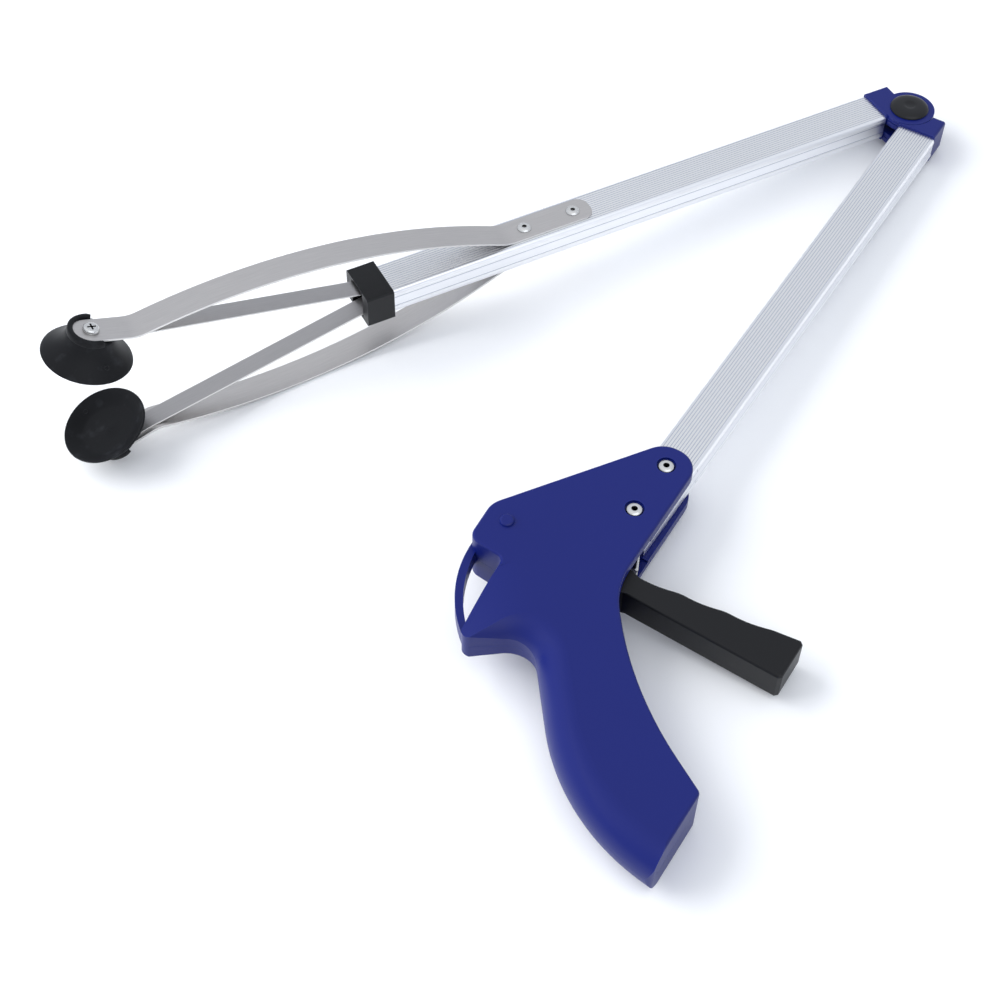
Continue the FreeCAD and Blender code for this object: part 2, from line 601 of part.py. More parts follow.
# ---- jaws --------------------------------------------------------------------------------------
class StripLine:
    """The side view of a bent strip: points and slopes along its middle line, upper jaw."""

    def __init__(self, s, z):
        """Start level at the given place."""
        self.spans = []
        self.s = s
        self.z = z
        self.slope = 0.0

    def straight(self, length):
        """Add a straight run."""
        a = math.radians(self.slope)
        start = (self.s, self.z)
        self.s += length * math.cos(a)
        self.z += length * math.sin(a)
        self.spans.append((start, (self.s, self.z), self.slope, self.slope, 0.0))
        return self

    def curve(self, radius, slope):
        """Add an arc that ends at the given slope."""
        a, b = math.radians(self.slope), math.radians(slope)
        sign = 1 if b > a else -1
        start = (self.s, self.z)
        self.s += sign * radius * (math.sin(b) - math.sin(a))
        self.z += sign * radius * (math.cos(a) - math.cos(b))
        self.spans.append((start, (self.s, self.z), self.slope, slope, sign * radius))
        self.slope = slope
        return self

    def solid(self, thick, width):
        """The strip as a solid of the given thickness and width."""
        def edge(span, side):
            (s0, z0), (s1, z1), a0, a1, radius = span
            ends = []
            for s, z, a in ((s0, z0, a0), (s1, z1, a1)):
                a = math.radians(a)
                ends.append((s - side * math.sin(a), z + side * math.cos(a)))
            if radius == 0.0:
                return ends[0], None, ends[1]
            mid = math.radians((a0 + a1) / 2)
            cs = s0 - radius * math.sin(math.radians(a0))
            cz = z0 + radius * math.cos(math.radians(a0))
            reach = radius - side
            return ends[0], (cs + reach * math.sin(mid), cz - reach * math.cos(mid)), ends[1]

        at = lambda p: front(p[0], -width / 2, p[1])
        upper = [edge(span, thick / 2) for span in self.spans]
        lower = [edge(span, -thick / 2) for span in reversed(self.spans)]
        steps = []
        for start, through, end in upper:
            steps.append((at(end),) if through is None else (at(through), at(end)))
        steps.append((at(lower[0][2]),))
        for start, through, end in lower:
            steps.append((at(start),) if through is None else (at(through), at(start)))
        steps.append((at(upper[0][0]),))
        return face_of(at(upper[0][0]), steps).extrude(V(-width, 0, 0))


def over_crown(line, slope):
    """Carry a line on over the outer strip's crown to the given slope."""
    if line.slope > CROWN_ANGLE:
        line.curve(RISE_R, max(slope, CROWN_ANGLE))
    if slope < CROWN_ANGLE:
        line.curve(CROWN_R, slope)
    return line


def crown_line(from_slope, to_slope):
    """The outer strip's line between two slopes of its crown."""
    line = StripLine(BEND_S, HALF_T + STRIP_T / 2).curve(BEND_R, RISE_ANGLE)
    over_crown(line, from_slope).spans.clear()
    return over_crown(line, to_slope)


def strip_root():
    """The riveted root of an outer strip, up to the end of its first bend."""
    line = StripLine(STRIP_START, HALF_T + STRIP_T / 2).straight(BEND_S - STRIP_START)
    line.curve(BEND_R, RISE_ANGLE - math.degrees(FLEX_GAP / BEND_R))
    plate = line.solid(STRIP_T, STRIP_W)
    on_start = lambda p: p.y > -STRIP_START - TINY and abs(p.z - HALF_T - STRIP_T / 2) < STRIP_T / 4
    plate = fillet_where(plate, STRIP_W * 0.4, on_start)
    for s in STRIP_RIVET_S:
        plate = plate.cut(post(front, s, 0, STRIP_RIVET_R, 0, TUBE_H))
    return plate


def strip_mid():
    """The rising stretch of an outer strip."""
    gap = math.degrees(FLEX_GAP / RISE_R)
    return crown_line(RISE_ANGLE - gap, FLEX_ANGLE + gap).solid(STRIP_T, STRIP_W)


def tip_line():
    """The outer strip's line from its middle flexing point to the start of the tab."""
    gap = math.degrees(FLEX_GAP / RISE_R)
    return crown_line(FLEX_ANGLE - gap, FALL_ANGLE).curve(FLARE_R, FLARE_ANGLE)


def on_tab(along, out):
    """A point on the tab's frame: along it from its start, and out from its middle surface."""
    start = tip_line()
    a = math.radians(FLARE_ANGLE)
    return start.s + along * math.cos(a) - out * math.sin(a), start.z + along * math.sin(a) + out * math.cos(a)


def on_axis(along, out, r, height):
    """A round post on the tab's frame, standing out from it."""
    s, z = on_tab(along, out)
    a = math.radians(FLARE_ANGLE)
    up = V(0, math.sin(a), math.cos(a))
    return Part.makeCylinder(r, height, front(s, 0, z), up)


def round_tip(plate, width):
    """Round the two corners at the free end of a tab."""
    end_s, end_z = on_tab(TAB_LEN, 0)
    return fillet_where(plate, TAB_TIP_R * width / STRIP_W,
                        lambda p: math.hypot(p.y + end_s, p.z - end_z) < 2 * STRIP_T
                        and abs(abs(p.x + OFFSET) - width / 2) < TINY)


def strip_tip():
    """The front stretch of an outer strip with the flared tab that carries the cup."""
    plate = round_tip(tip_line().straight(TAB_LEN).solid(STRIP_T, STRIP_W), STRIP_W)
    return plate.cut(on_axis(CUP_AXIS, -SCREW_SHANK, SCREW_R, 2 * SCREW_SHANK))


def link_tab():
    """The clamped front end of a pull strip, under the tab."""
    s, z = on_tab(LINK_TAB_START, -STRIP_T / 2 - LINK_T / 2)
    line = StripLine(s, z)
    line.slope = FLARE_ANGLE
    plate = round_tip(line.straight(TAB_LEN - LINK_TAB_START).solid(LINK_T, LINK_W), LINK_W)
    return plate.cut(on_axis(CUP_AXIS, -SCREW_SHANK, SCREW_R, 2 * SCREW_SHANK))


def link_front():
    """Where the pull strip's flexing point is, just behind the tab."""
    line = crown_line(FLEX_ANGLE, FALL_ANGLE)
    return line.s - LINK_CLEAR, line.z - STRIP_T / 2 - LINK_CLEAR - LINK_T


def link():
    """A pull strip, from its flexing point at the jaw's tip to the slider."""
    s1, z1 = link_front()
    line = StripLine(LINK_REAR_S, LINK_REAR_Z)
    line.slope = math.degrees(math.atan2(z1 - LINK_REAR_Z, s1 - LINK_REAR_S))
    plate = line.straight(math.hypot(s1 - LINK_REAR_S, z1 - LINK_REAR_Z)).solid(LINK_T, LINK_W)
    tail = StripLine(LINK_REAR_S - LINK_TAIL, LINK_REAR_Z).straight(LINK_TAIL + LINK_T / 8)
    side = SLIDER_PIN_R + LINK_SLOT_PLAY
    slot = block(front, LINK_REAR_S - LINK_SLOT, LINK_REAR_S + LINK_SLOT, -side, side, 0, HALF_T)
    return plate.fuse(tail.solid(LINK_T, LINK_W)).cut(slot)


def cup():
    """A rubber suction cup with a locating collar round the end of the tab."""
    rim = -CUP_H
    floor = rim + CUP_DEPTH
    steps = [
        (V(0, 0, 0),),
        (V(CUP_TOP_R, 0, 0),),
        (V(CUP_TOP_R + 2.2, 0, rim * 0.45), V(CUP_R, 0, rim + CUP_LIP)),
        (V(CUP_R, 0, rim),),
        (V(CUP_R - CUP_LIP, 0, rim),),
        (V(CUP_FLOOR_R + 2.4, 0, rim + CUP_DEPTH * 0.62), V(CUP_FLOOR_R, 0, floor)),
        (V(0, 0, floor),),
    ]
    body = face_of(V(0, 0, floor), steps).revolve(V(0, 0, 0), V(0, 0, 1), 360)
    tab = LINK_T + STRIP_T
    wall = Part.makeCylinder(CUP_TOP_R, tab + COLLAR_RISE, V(0, 0, 0))
    room = Part.makeCylinder(CUP_TOP_R - COLLAR_T, CUP_H, V(0, 0, 0))
    back = Part.makeBox(2 * CUP_R, CUP_R, CUP_H, V(-CUP_R, COLLAR_OPEN, 0))
    body = body.fuse(wall.cut(room).cut(back))
    body = body.cut(Part.makeCylinder(SCREW_R, SCREW_SHANK + CUP_H, V(0, 0, tab - SCREW_SHANK)))
    s, z = on_tab(CUP_AXIS, -STRIP_T / 2 - LINK_T)
    body.rotate(V(0, 0, 0), V(1, 0, 0), -FLARE_ANGLE)
    body.translate(front(s, 0, z))
    return body


def cup_screw():
    """The cross-head screw through the tab, the pull strip's end and the cup."""
    head = Part.makeCylinder(SCREW_HEAD_R, SCREW_HEAD_H, V(0, 0, 0))
    head = fillet_where(head, SCREW_HEAD_H * 0.6, lambda p: p.z > SCREW_HEAD_H - TINY)
    screw = head.fuse(Part.makeCylinder(SCREW_R, SCREW_SHANK, V(0, 0, -SCREW_SHANK)))
    length, width, depth = SCREW_CROSS
    for x, y in ((length, width), (width, length)):
        screw = screw.cut(Part.makeBox(x, y, SCREW_HEAD_H, V(-x / 2, -y / 2, SCREW_HEAD_H - depth)))
    s, z = on_tab(CUP_AXIS, STRIP_T / 2)
    screw.rotate(V(0, 0, 0), V(1, 0, 0), -FLARE_ANGLE)
    screw.translate(front(s, 0, z))
    return screw


# ---- assembly ----------------------------------------------------------------------------------
def pieces():
    """Every piece in the working frame, by node name."""
    upper_shell = shell()
    parts = {
        "handle_upper_shell": upper_shell,
        "handle_lower_shell": mirrored(upper_shell),
        "handle_rivets": Part.makeCompound([
            rivet(rear, s, RIVET_R, RIVET_HEAD_R, HALF_CHEEK - RIVET_SINK, RIVET_SINK - HALF_CHEEK)
            for s in RIVET_S]),
        "trigger_pin": post(grip, TRIGGER_S, TRIGGER_O, TRIGGER_PIN_R, -CAVITY_H - 0.9, CAVITY_H + 0.9),
        "trigger_spring": trigger_spring(),
        "rear_tube": tube(rear, REAR_TUBE_END, [(s, RIVET_R) for s in RIVET_S]),
        "rear_knuckle": knuckle(rear, INNER_EAR, OUTER_EAR),
        "pivot_cap_upper": pivot_cap(),
        "pivot_cap_lower": mirrored(pivot_cap()),
        "trigger": trigger(),
        "pull_wire_rear": rear_wire(),
        "wire_eyelet": eyelet(),
        "ferrule_rear": ferrule(rear),
        "fold_cable": fold_cable(),
    }
    front_parts = {
        "front_tube": tube(front, FRONT_TUBE_END, [(s, STRIP_RIVET_R) for s in STRIP_RIVET_S]),
        "front_knuckle": knuckle(front, OUTER_EAR, INNER_EAR),
        "end_cap": end_cap(),
        "pull_wire_front": front_wire(),
        "ferrule_front": ferrule(front),
        "slider": slider(),
        "slider_pin": slider_pin(),
    }
    strip_top = HALF_T + STRIP_T
    rivets = [rivet(front, s, STRIP_RIVET_R, STRIP_RIVET_HEAD_R, strip_top, HALF_T - TUBE_WALL)
              for s in STRIP_RIVET_S]
    jaw = {
        "strip_root": strip_root(),
        "strip_rivets": Part.makeCompound(rivets),
        "strip_mid": strip_mid(),
        "strip_tip": strip_tip(),
        "pull_strip": link(),
        "pull_strip_end": link_tab(),
        "cup": cup(),
        "cup_screw": cup_screw(),
    }
    for name, shape in jaw.items():
        front_parts["upper_" + name] = shape
        front_parts["lower_" + name] = mirrored(shape)
    for name, shape in front_parts.items():
        parts[name] = unfold(shape)
    return parts


def lowest_point(shapes, level):
    """The lowest point of some pieces once the tool is turned level."""
    points = []
    for shape in shapes:
        points += shape.tessellate(RESTING_MESH)[0]
    return min(points, key=lambda p: level.multVec(p).z)


def levelling(parts):
    """The rotation that lays the tool on its hinge, its grip and its lower cup."""
    level = FreeCAD.Placement()
    for _ in range(LEVELLING_STEPS):
        hinge, handle, jaw = (lowest_point([parts[name] for name in names], level) for names in RESTS_ON)
        normal = (jaw - hinge).cross(handle - hinge)
        if normal.z < 0:
            normal = normal * -1
        level = FreeCAD.Placement(V(0, 0, 0), FreeCAD.Rotation(normal, V(0, 0, 1)))
    return level


def placement_on_table(parts):
    """The whole move onto the table: level, lowest point at z = 0, centred on the origin."""
    level = levelling(parts)
    whole = Part.makeCompound([p.copy() for p in parts.values()])
    whole.Placement = level.multiply(whole.Placement)
    box = whole.optimalBoundingBox(False)
    shift = V(-(box.XMin + box.XMax) / 2, -(box.YMin + box.YMax) / 2, -box.ZMin)
    return FreeCAD.Placement(shift, FreeCAD.Rotation()).multiply(level)


def main():
    """Build every piece, lay the tool on the table and write the parts."""
    os.makedirs("parts", exist_ok=True)
    parts = pieces()
    place = placement_on_table(parts)
    for name, shape in parts.items():
        moved = shape.copy()
        moved.Placement = place.multiply(moved.Placement)
        moved.exportStep(os.path.join("parts", name + ".step"))


main()
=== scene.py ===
"""Folding reacher grabber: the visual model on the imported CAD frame.

Two fluted aluminium tubes are joined by a folding hinge. A pistol handle with a squeeze trigger is at
one end, and a pair of sprung steel jaws with rubber cups is at the other. Sizes are in millimetres and
become metres where a point is placed.
"""

import json
import logging
import math
from dataclasses import dataclass, field, replace
from enum import Enum
from typing import Any, Callable, Optional, Sequence

import bmesh
import bpy
from mathutils import Matrix, Vector
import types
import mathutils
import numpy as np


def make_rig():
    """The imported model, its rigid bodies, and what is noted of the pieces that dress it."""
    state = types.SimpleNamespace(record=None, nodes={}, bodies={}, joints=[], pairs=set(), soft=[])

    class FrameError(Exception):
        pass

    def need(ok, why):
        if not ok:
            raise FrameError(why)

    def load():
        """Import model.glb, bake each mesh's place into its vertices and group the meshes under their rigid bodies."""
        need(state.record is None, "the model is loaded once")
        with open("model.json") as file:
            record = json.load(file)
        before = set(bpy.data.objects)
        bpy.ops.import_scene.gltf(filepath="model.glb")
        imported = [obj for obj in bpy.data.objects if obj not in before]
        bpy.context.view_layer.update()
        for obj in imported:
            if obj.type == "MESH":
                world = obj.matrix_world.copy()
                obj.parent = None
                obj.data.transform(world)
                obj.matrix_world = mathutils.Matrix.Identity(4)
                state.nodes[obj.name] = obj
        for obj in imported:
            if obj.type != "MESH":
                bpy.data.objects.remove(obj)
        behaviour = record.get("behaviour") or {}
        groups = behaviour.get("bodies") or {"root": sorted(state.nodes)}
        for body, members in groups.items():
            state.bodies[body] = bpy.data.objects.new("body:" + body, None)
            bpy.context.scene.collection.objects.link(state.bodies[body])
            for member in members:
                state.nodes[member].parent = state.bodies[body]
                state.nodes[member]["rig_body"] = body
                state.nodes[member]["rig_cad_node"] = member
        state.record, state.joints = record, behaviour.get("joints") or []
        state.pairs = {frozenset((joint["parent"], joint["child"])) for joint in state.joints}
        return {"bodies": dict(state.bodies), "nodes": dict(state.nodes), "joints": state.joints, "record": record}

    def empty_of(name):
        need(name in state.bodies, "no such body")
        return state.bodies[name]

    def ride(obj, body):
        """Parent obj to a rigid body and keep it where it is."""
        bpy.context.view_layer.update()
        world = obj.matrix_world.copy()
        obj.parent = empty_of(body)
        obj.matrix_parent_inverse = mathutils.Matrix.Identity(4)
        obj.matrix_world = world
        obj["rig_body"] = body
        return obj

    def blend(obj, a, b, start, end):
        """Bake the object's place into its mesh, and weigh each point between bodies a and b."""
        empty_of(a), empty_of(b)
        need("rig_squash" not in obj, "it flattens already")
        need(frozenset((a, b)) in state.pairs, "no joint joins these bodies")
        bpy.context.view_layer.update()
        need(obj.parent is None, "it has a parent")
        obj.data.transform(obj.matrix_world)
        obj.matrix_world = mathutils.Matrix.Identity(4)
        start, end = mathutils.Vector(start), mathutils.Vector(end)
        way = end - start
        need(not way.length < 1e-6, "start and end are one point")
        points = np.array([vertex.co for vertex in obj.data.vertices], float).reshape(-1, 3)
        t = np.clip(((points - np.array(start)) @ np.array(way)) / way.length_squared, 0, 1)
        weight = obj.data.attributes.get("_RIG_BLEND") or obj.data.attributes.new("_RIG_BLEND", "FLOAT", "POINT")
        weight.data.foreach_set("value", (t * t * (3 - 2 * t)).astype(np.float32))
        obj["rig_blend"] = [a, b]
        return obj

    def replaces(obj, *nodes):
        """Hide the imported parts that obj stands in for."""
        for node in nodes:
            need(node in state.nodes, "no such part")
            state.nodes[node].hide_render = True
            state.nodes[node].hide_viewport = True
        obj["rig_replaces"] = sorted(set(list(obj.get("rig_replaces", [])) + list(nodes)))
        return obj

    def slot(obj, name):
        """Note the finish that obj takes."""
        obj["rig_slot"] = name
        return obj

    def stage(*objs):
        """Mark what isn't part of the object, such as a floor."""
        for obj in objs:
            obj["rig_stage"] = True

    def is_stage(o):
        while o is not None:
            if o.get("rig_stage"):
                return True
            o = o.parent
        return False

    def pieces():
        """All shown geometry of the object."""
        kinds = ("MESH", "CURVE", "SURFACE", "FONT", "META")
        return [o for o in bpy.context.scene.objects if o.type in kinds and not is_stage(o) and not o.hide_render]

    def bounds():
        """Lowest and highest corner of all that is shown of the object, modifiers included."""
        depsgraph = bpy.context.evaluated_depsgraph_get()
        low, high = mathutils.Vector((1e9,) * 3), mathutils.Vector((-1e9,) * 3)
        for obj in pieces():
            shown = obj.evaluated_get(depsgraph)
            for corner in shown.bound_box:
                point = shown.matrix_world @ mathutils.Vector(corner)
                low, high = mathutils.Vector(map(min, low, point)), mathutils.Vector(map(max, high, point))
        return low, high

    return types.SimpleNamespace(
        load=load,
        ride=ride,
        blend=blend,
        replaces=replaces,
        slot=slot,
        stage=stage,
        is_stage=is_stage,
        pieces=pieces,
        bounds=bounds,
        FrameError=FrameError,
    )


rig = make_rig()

LOG = logging.getLogger("reacher")
MM = 0.001
FLUTES = 12          # ribs on each wide face of a tube
FLUTE_PITCH = 1.22

Pair = tuple[float, float]
Triple = tuple[float, float, float]
Colour = tuple[float, float, float, float]
Tree = bpy.types.NodeTree
Socket = bpy.types.NodeSocket
Piece = bpy.types.Object
Placer = Callable[[float, float, float], Vector]


class Jaw(Enum):
    """The two jaws, each with the side of the arms' plane that it is on."""

    UPPER = 1
    LOWER = -1

    @property
    def prefix(self) -> str:
        """The start of the jaw's node names."""
        return self.name.lower() + "_"


class Grain(Enum):
    """What a metal's fine lines follow."""

    ARM = "object"
    LENGTH = "uv"


# ---- small tools -------------------------------------------------------------------------------
def linear(hex_colour: str) -> Colour:
    """Turn an sRGB hex colour into linear RGBA.

    Args:
        hex_colour: Six hex digits, such as "2b3990".

    Returns:
        Linear red, green and blue, with an alpha of 1.
    """
    channels = [int(hex_colour[i:i + 2], 16) / 255 for i in (0, 2, 4)]
    values = [c / 12.92 if c <= 0.04045 else ((c + 0.055) / 1.055) ** 2.4 for c in channels]
    return values[0], values[1], values[2], 1.0


def shaded(colour: Colour, part: float) -> Colour:
    """A colour made darker.

    Args:
        colour: Linear RGBA.
        part: What each channel is multiplied by.

    Returns:
        Linear RGBA.
    """
    return colour[0] * part, colour[1] * part, colour[2] * part, 1.0


def add_node(tree: Tree, kind: str, settings: Optional[dict[str, Any]] = None,
             inputs: Optional[dict[Any, Any]] = None) -> bpy.types.Node:
    """Add one node with its settings, values and links.

    Args:
        tree: The node tree to add to.
        kind: The node's type name.
        settings: Properties to set on the node.
        inputs: Socket name or index to a value, or to an output socket that is linked to it.

    Returns:
        The new node.
    """
    node = tree.nodes.new(kind)
    for name, value in (settings or {}).items():
        setattr(node, name, value)
    for name, value in (inputs or {}).items():
        if isinstance(value, bpy.types.NodeSocket):
            tree.links.new(value, node.inputs[name])
        else:
            node.inputs[name].default_value = value
    return node


def calc(tree: Tree, operation: str, *values: Any) -> Socket:
    """Add a math node.

    Args:
        tree: The node tree to add to.
        operation: The node's operation.
        values: Numbers or sockets for its inputs, in order.

    Returns:
        The result.
    """
    return add_node(tree, "ShaderNodeMath", {"operation": operation}, dict(enumerate(values))).outputs[0]


def mix(tree: Tree, factor: Socket, first: Any, second: Any) -> Socket:
    """Mix two colours.

    Args:
        tree: The node tree to add to.
        factor: 0 for the first colour, 1 for the second.
        first: A colour or a socket.
        second: A colour or a socket.

    Returns:
        The mixed colour.
    """
    return add_node(tree, "ShaderNodeMix", {"data_type": "RGBA"},
                    {"Factor": factor, 6: first, 7: second}).outputs[2]


def remap(tree: Tree, value: Socket, low: float, high: float, first: float = 0.0,
          last: float = 1.0) -> Socket:
    """Bring one range of values onto another, and clamp it.

    Args:
        tree: The node tree to add to.
        value: The value.
        low: What becomes first.
        high: What becomes last.
        first: The new value at low.
        last: The new value at high.

    Returns:
        The new value.
    """
    return add_node(tree, "ShaderNodeMapRange", inputs={
        "Value": value, 1: low, 2: high, 3: first, 4: last}).outputs[0]


def noise(tree: Tree, place: Socket, scale: float, detail: float, roughness: float = 0.5) -> Socket:
    """Add a noise texture.

    Args:
        tree: The node tree to add to.
        place: Where the texture is read.
        scale: How many of its bumps there are to the unit.
        detail: How many finer layers it has.
        roughness: How strong the finer layers are.

    Returns:
        The noise, from 0 to 1.
    """
    return add_node(tree, "ShaderNodeTexNoise", inputs={
        "Vector": place, "Scale": scale, "Detail": detail, "Roughness": roughness}).outputs["Fac"]


def bump(tree: Tree, height: Socket, distance: float, strength: float) -> Socket:
    """Turn a height into a shading normal.

    Args:
        tree: The node tree to add to.
        height: The height, from 0 to 1.
        distance: The real height of 1, in millimetres.
        strength: How much of it shows.

    Returns:
        The normal.
    """
    return add_node(tree, "ShaderNodeBump", inputs={
        "Strength": strength, "Distance": distance * MM, "Height": height}).outputs["Normal"]


def object_place(tree: Tree) -> Socket:
    """The place in the object's own axes, which stay with the piece as it moves."""
    return add_node(tree, "ShaderNodeTexCoord").outputs["Object"]


# ---- finishes ----------------------------------------------------------------------------------
@dataclass(frozen=True)
class Finish:
    """What every finish has: a name, its colour and how rough it is."""

    name: str
    colour: str
    roughness: float

    def start(self) -> tuple[bpy.types.Material, Tree]:
        """Make an empty node material.

        Returns:
            The material and its node tree.
        """
        material = bpy.data.materials.new(self.name)
        material.use_nodes = True
        material.node_tree.nodes.clear()
        return material, material.node_tree

    def end(self, tree: Tree, inputs: dict[Any, Any]) -> None:
        """Close the material with its shader and output.

        Args:
            tree: The material's node tree.
            inputs: The shader's sockets and what goes in them.
        """
        shader = add_node(tree, "ShaderNodeBsdfPrincipled", inputs=inputs)
        add_node(tree, "ShaderNodeOutputMaterial", inputs={"Surface": shader.outputs["BSDF"]})

    def edges(self, tree: Tree, radius: float, low: float, high: float) -> Socket:
        """Find the outer edges, where handling wears and polishes a surface; on the plastics they also carry a painted
        highlight.

        Args:
            tree: The material's node tree.
            radius: How far from an edge the wear reaches, in millimetres.
            low: The turn of the normal where wear starts.
            high: The turn of the normal where wear is full.

        Returns:
            A factor that is 1 on the edges and 0 on the faces.
        """
        bevel = add_node(tree, "ShaderNodeBevel", {"samples": 4}, {"Radius": radius * MM})
        geometry = add_node(tree, "ShaderNodeNewGeometry")
        dot = add_node(tree, "ShaderNodeVectorMath", {"operation": "DOT_PRODUCT"},
                       {0: bevel.outputs[0], 1: geometry.outputs["Normal"]})
        return remap(tree, calc(tree, "SUBTRACT", 1.0, dot.outputs["Value"]), low, high)


@dataclass(frozen=True)
class MouldedPlastic(Finish):
    """Injection-moulded plastic: an even colour, a fine spark-eroded grain, and paler edges that stand for wear and
    for a painted highlight.
    """

    edge_colour: str = "ffffff"
    grain: float = 0.35          # millimetres from one bump of the grain to the next
    grain_height: float = 0.012  # millimetres
    patch: float = 35.0          # size of the faint cloudy patches left by the flow of the melt
    patch_shade: float = 0.93
    edge_break_scale: float = 260.0     # how fine the paler edges (wear and painted highlight) are broken up, to the metre
    # how strongly the edges are paled, for wear and a painted highlight
    edge_wear_and_highlight: float = 0.5
    ior: float = 1.38

    def build(self) -> bpy.types.Material:
        """Make the material."""
        material, tree = self.start()
        place = object_place(tree)
        fine = noise(tree, place, 1 / (self.grain * MM), 3.0, 0.6)
        cloud = noise(tree, place, 1 / (self.patch * MM), 2.0)
        base = linear(self.colour)
        tone = mix(tree, cloud, shaded(base, self.patch_shade), base)
        # Paler edges broken up by noise: partly wear, partly a painted highlight along the rounded edges.
        edge_break = noise(tree, place, self.edge_break_scale, 4.0)
        broken = calc(tree, "MULTIPLY", self.edges(tree, 0.7, 0.04, 0.35), edge_break)
        colour = mix(tree, calc(tree, "MULTIPLY", broken, self.edge_wear_and_highlight), tone, linear(self.edge_colour))
        gloss = remap(tree, cloud, 0.0, 1.0, self.roughness - 0.04, self.roughness + 0.05)
        self.end(tree, {"Base Color": colour, "Roughness": gloss, "IOR": self.ior,
                        "Normal": bump(tree, fine, self.grain_height, 0.35)})
        return material


@dataclass(frozen=True)
class DrawnMetal(Finish):
    """Drawn or rolled metal: fine lines along its length, and brighter edges where it is cut or rubbed."""

    grain: Grain = Grain.ARM
    rotation: Triple = (0.0, 0.0, 0.0)   # brings the part's side, length and height onto X, Y and Z
    shift: Triple = (0.0, 0.0, 0.0)      # brings the part's own origin to zero
    line: float = 0.35           # millimetres from one line to the next, drawn coarse enough to show
    run: float = 45.0            # millimetres that a line runs on
    depth: float = 0.006         # millimetres
    contrast: float = 0.12
    cloud_scale: float = 30.0    # the slow change of gloss, to the metre
    edge_colour: str = "f4f4f2"
    edge_reach: float = 0.5      # millimetres of the edge's polish
    half_width: float = 0.0      # half the width of a strip, whose edges are then taken from its UV
    flutes: int = 0              # painted shade in the grooves between the ribs of a fluted face
    pitch: float = 1.2
    groove: float = 0.3
    # the colour of the painted shade in the grooves and beside the beads
    groove_shade_colour: str = "bcc1cc"
    face: float = 6.0            # height of the fluted faces over the part's middle
    side: float = 8.95           # the narrow faces, from the part's middle
    bead_shade_at: float = 2.35        # fine lines of painted shade beside the beads of the narrow faces
    bead_shade_width: float = 0.4
    recess_shade_reach: float = 0.0          # painted shade darkens holes and recesses up to this many millimetres wide
    recess_shade_colour: str = "1c1c1e"

    def strip_edges(self, tree: Tree, place: Socket) -> Socket:
        """Find a strip's long edges from its UV, whose first value runs across it.

        Args:
            tree: The material's node tree.
            place: The strip's UV in metres.

        Returns:
            A factor that is 1 on the long edges.
        """
        across = add_node(tree, "ShaderNodeSeparateXYZ", inputs={"Vector": place}).outputs["X"]
        return remap(tree, calc(tree, "ABSOLUTE", across), (self.half_width - self.edge_reach) * MM,
                     self.half_width * MM)

    def groove_shade_mask(self, tree: Tree, place: Socket) -> Socket:
        """Find where shade is painted: the grooves between the ribs of the wide faces, and the lines beside the beads
        of the narrow ones.

        Args:
            tree: The material's node tree.
            place: The place in the part's own axes, in metres.

        Returns:
            A factor that is 1 in the grooves and beside the beads, where the shade is painted.
        """
        parts = add_node(tree, "ShaderNodeSeparateXYZ", inputs={"Vector": place}).outputs
        count = calc(tree, "MULTIPLY", parts["X"], 1 / (self.pitch * MM))
        nearest = calc(tree, "ROUND", count)
        away = calc(tree, "ABSOLUTE", calc(tree, "SUBTRACT", count, nearest))
        inside = calc(tree, "LESS_THAN", away, self.groove / self.pitch / 2)
        counted = calc(tree, "LESS_THAN", calc(tree, "ABSOLUTE", nearest), self.flutes / 2 + 0.5)
        height = calc(tree, "ABSOLUTE", parts["Z"])
        on_face = calc(tree, "GREATER_THAN", height, self.face * MM)
        flute = calc(tree, "MULTIPLY", calc(tree, "MULTIPLY", inside, counted), on_face)
        on_side = calc(tree, "GREATER_THAN", calc(tree, "ABSOLUTE", parts["X"]), self.side * MM)
        by_bead_shade = calc(tree, "COMPARE", height, self.bead_shade_at * MM, self.bead_shade_width / 2 * MM)
        return calc(tree, "MAXIMUM", flute, calc(tree, "MULTIPLY", on_side, by_bead_shade))

    def build(self) -> bpy.types.Material:
        """Make the material."""
        material, tree = self.start()
        source = add_node(tree, "ShaderNodeTexCoord")
        place = source.outputs["Object"] if self.grain is Grain.ARM else source.outputs["UV"]
        turned = add_node(tree, "ShaderNodeMapping", inputs={
            "Vector": place, "Location": self.shift, "Rotation": self.rotation}).outputs[0]
        scaled = add_node(tree, "ShaderNodeMapping", inputs={
            "Vector": turned, "Scale": (1 / (self.line * MM), 1 / (self.run * MM), 1 / (self.line * MM))})
        lines = noise(tree, scaled.outputs[0], 1.0, 4.0, 0.65)
        cloud = noise(tree, place, self.cloud_scale, 3.0)
        base = linear(self.colour)
        tone = mix(tree, lines, shaded(base, 1 - self.contrast), base)
        if self.half_width:
            edge = self.strip_edges(tree, place)
        else:
            edge = self.edges(tree, self.edge_reach, 0.03, 0.3)
        colour = mix(tree, edge, tone, linear(self.edge_colour))
        # Painted shade in the flute grooves and beside the narrow faces' beads.
        if self.flutes:
            colour = mix(tree, self.groove_shade_mask(tree, turned), colour, linear(self.groove_shade_colour))
        # Painted shade: ambient occlusion darkens the holes and recesses.
        if self.recess_shade_reach:
            sky = add_node(tree, "ShaderNodeAmbientOcclusion", {"samples": 8}, {"Distance": self.recess_shade_reach * MM})
            colour = mix(tree, remap(tree, sky.outputs["AO"], 0.3, 0.8), linear(self.recess_shade_colour), colour)
        lined = calc(tree, "MULTIPLY_ADD", lines, 0.14, self.roughness - 0.12)
        gloss = calc(tree, "MULTIPLY_ADD", cloud, 0.10, lined)
        self.end(tree, {"Base Color": colour, "Metallic": 1.0, "Roughness": gloss,
                        "Normal": bump(tree, lines, self.depth, 0.5)})
        return material


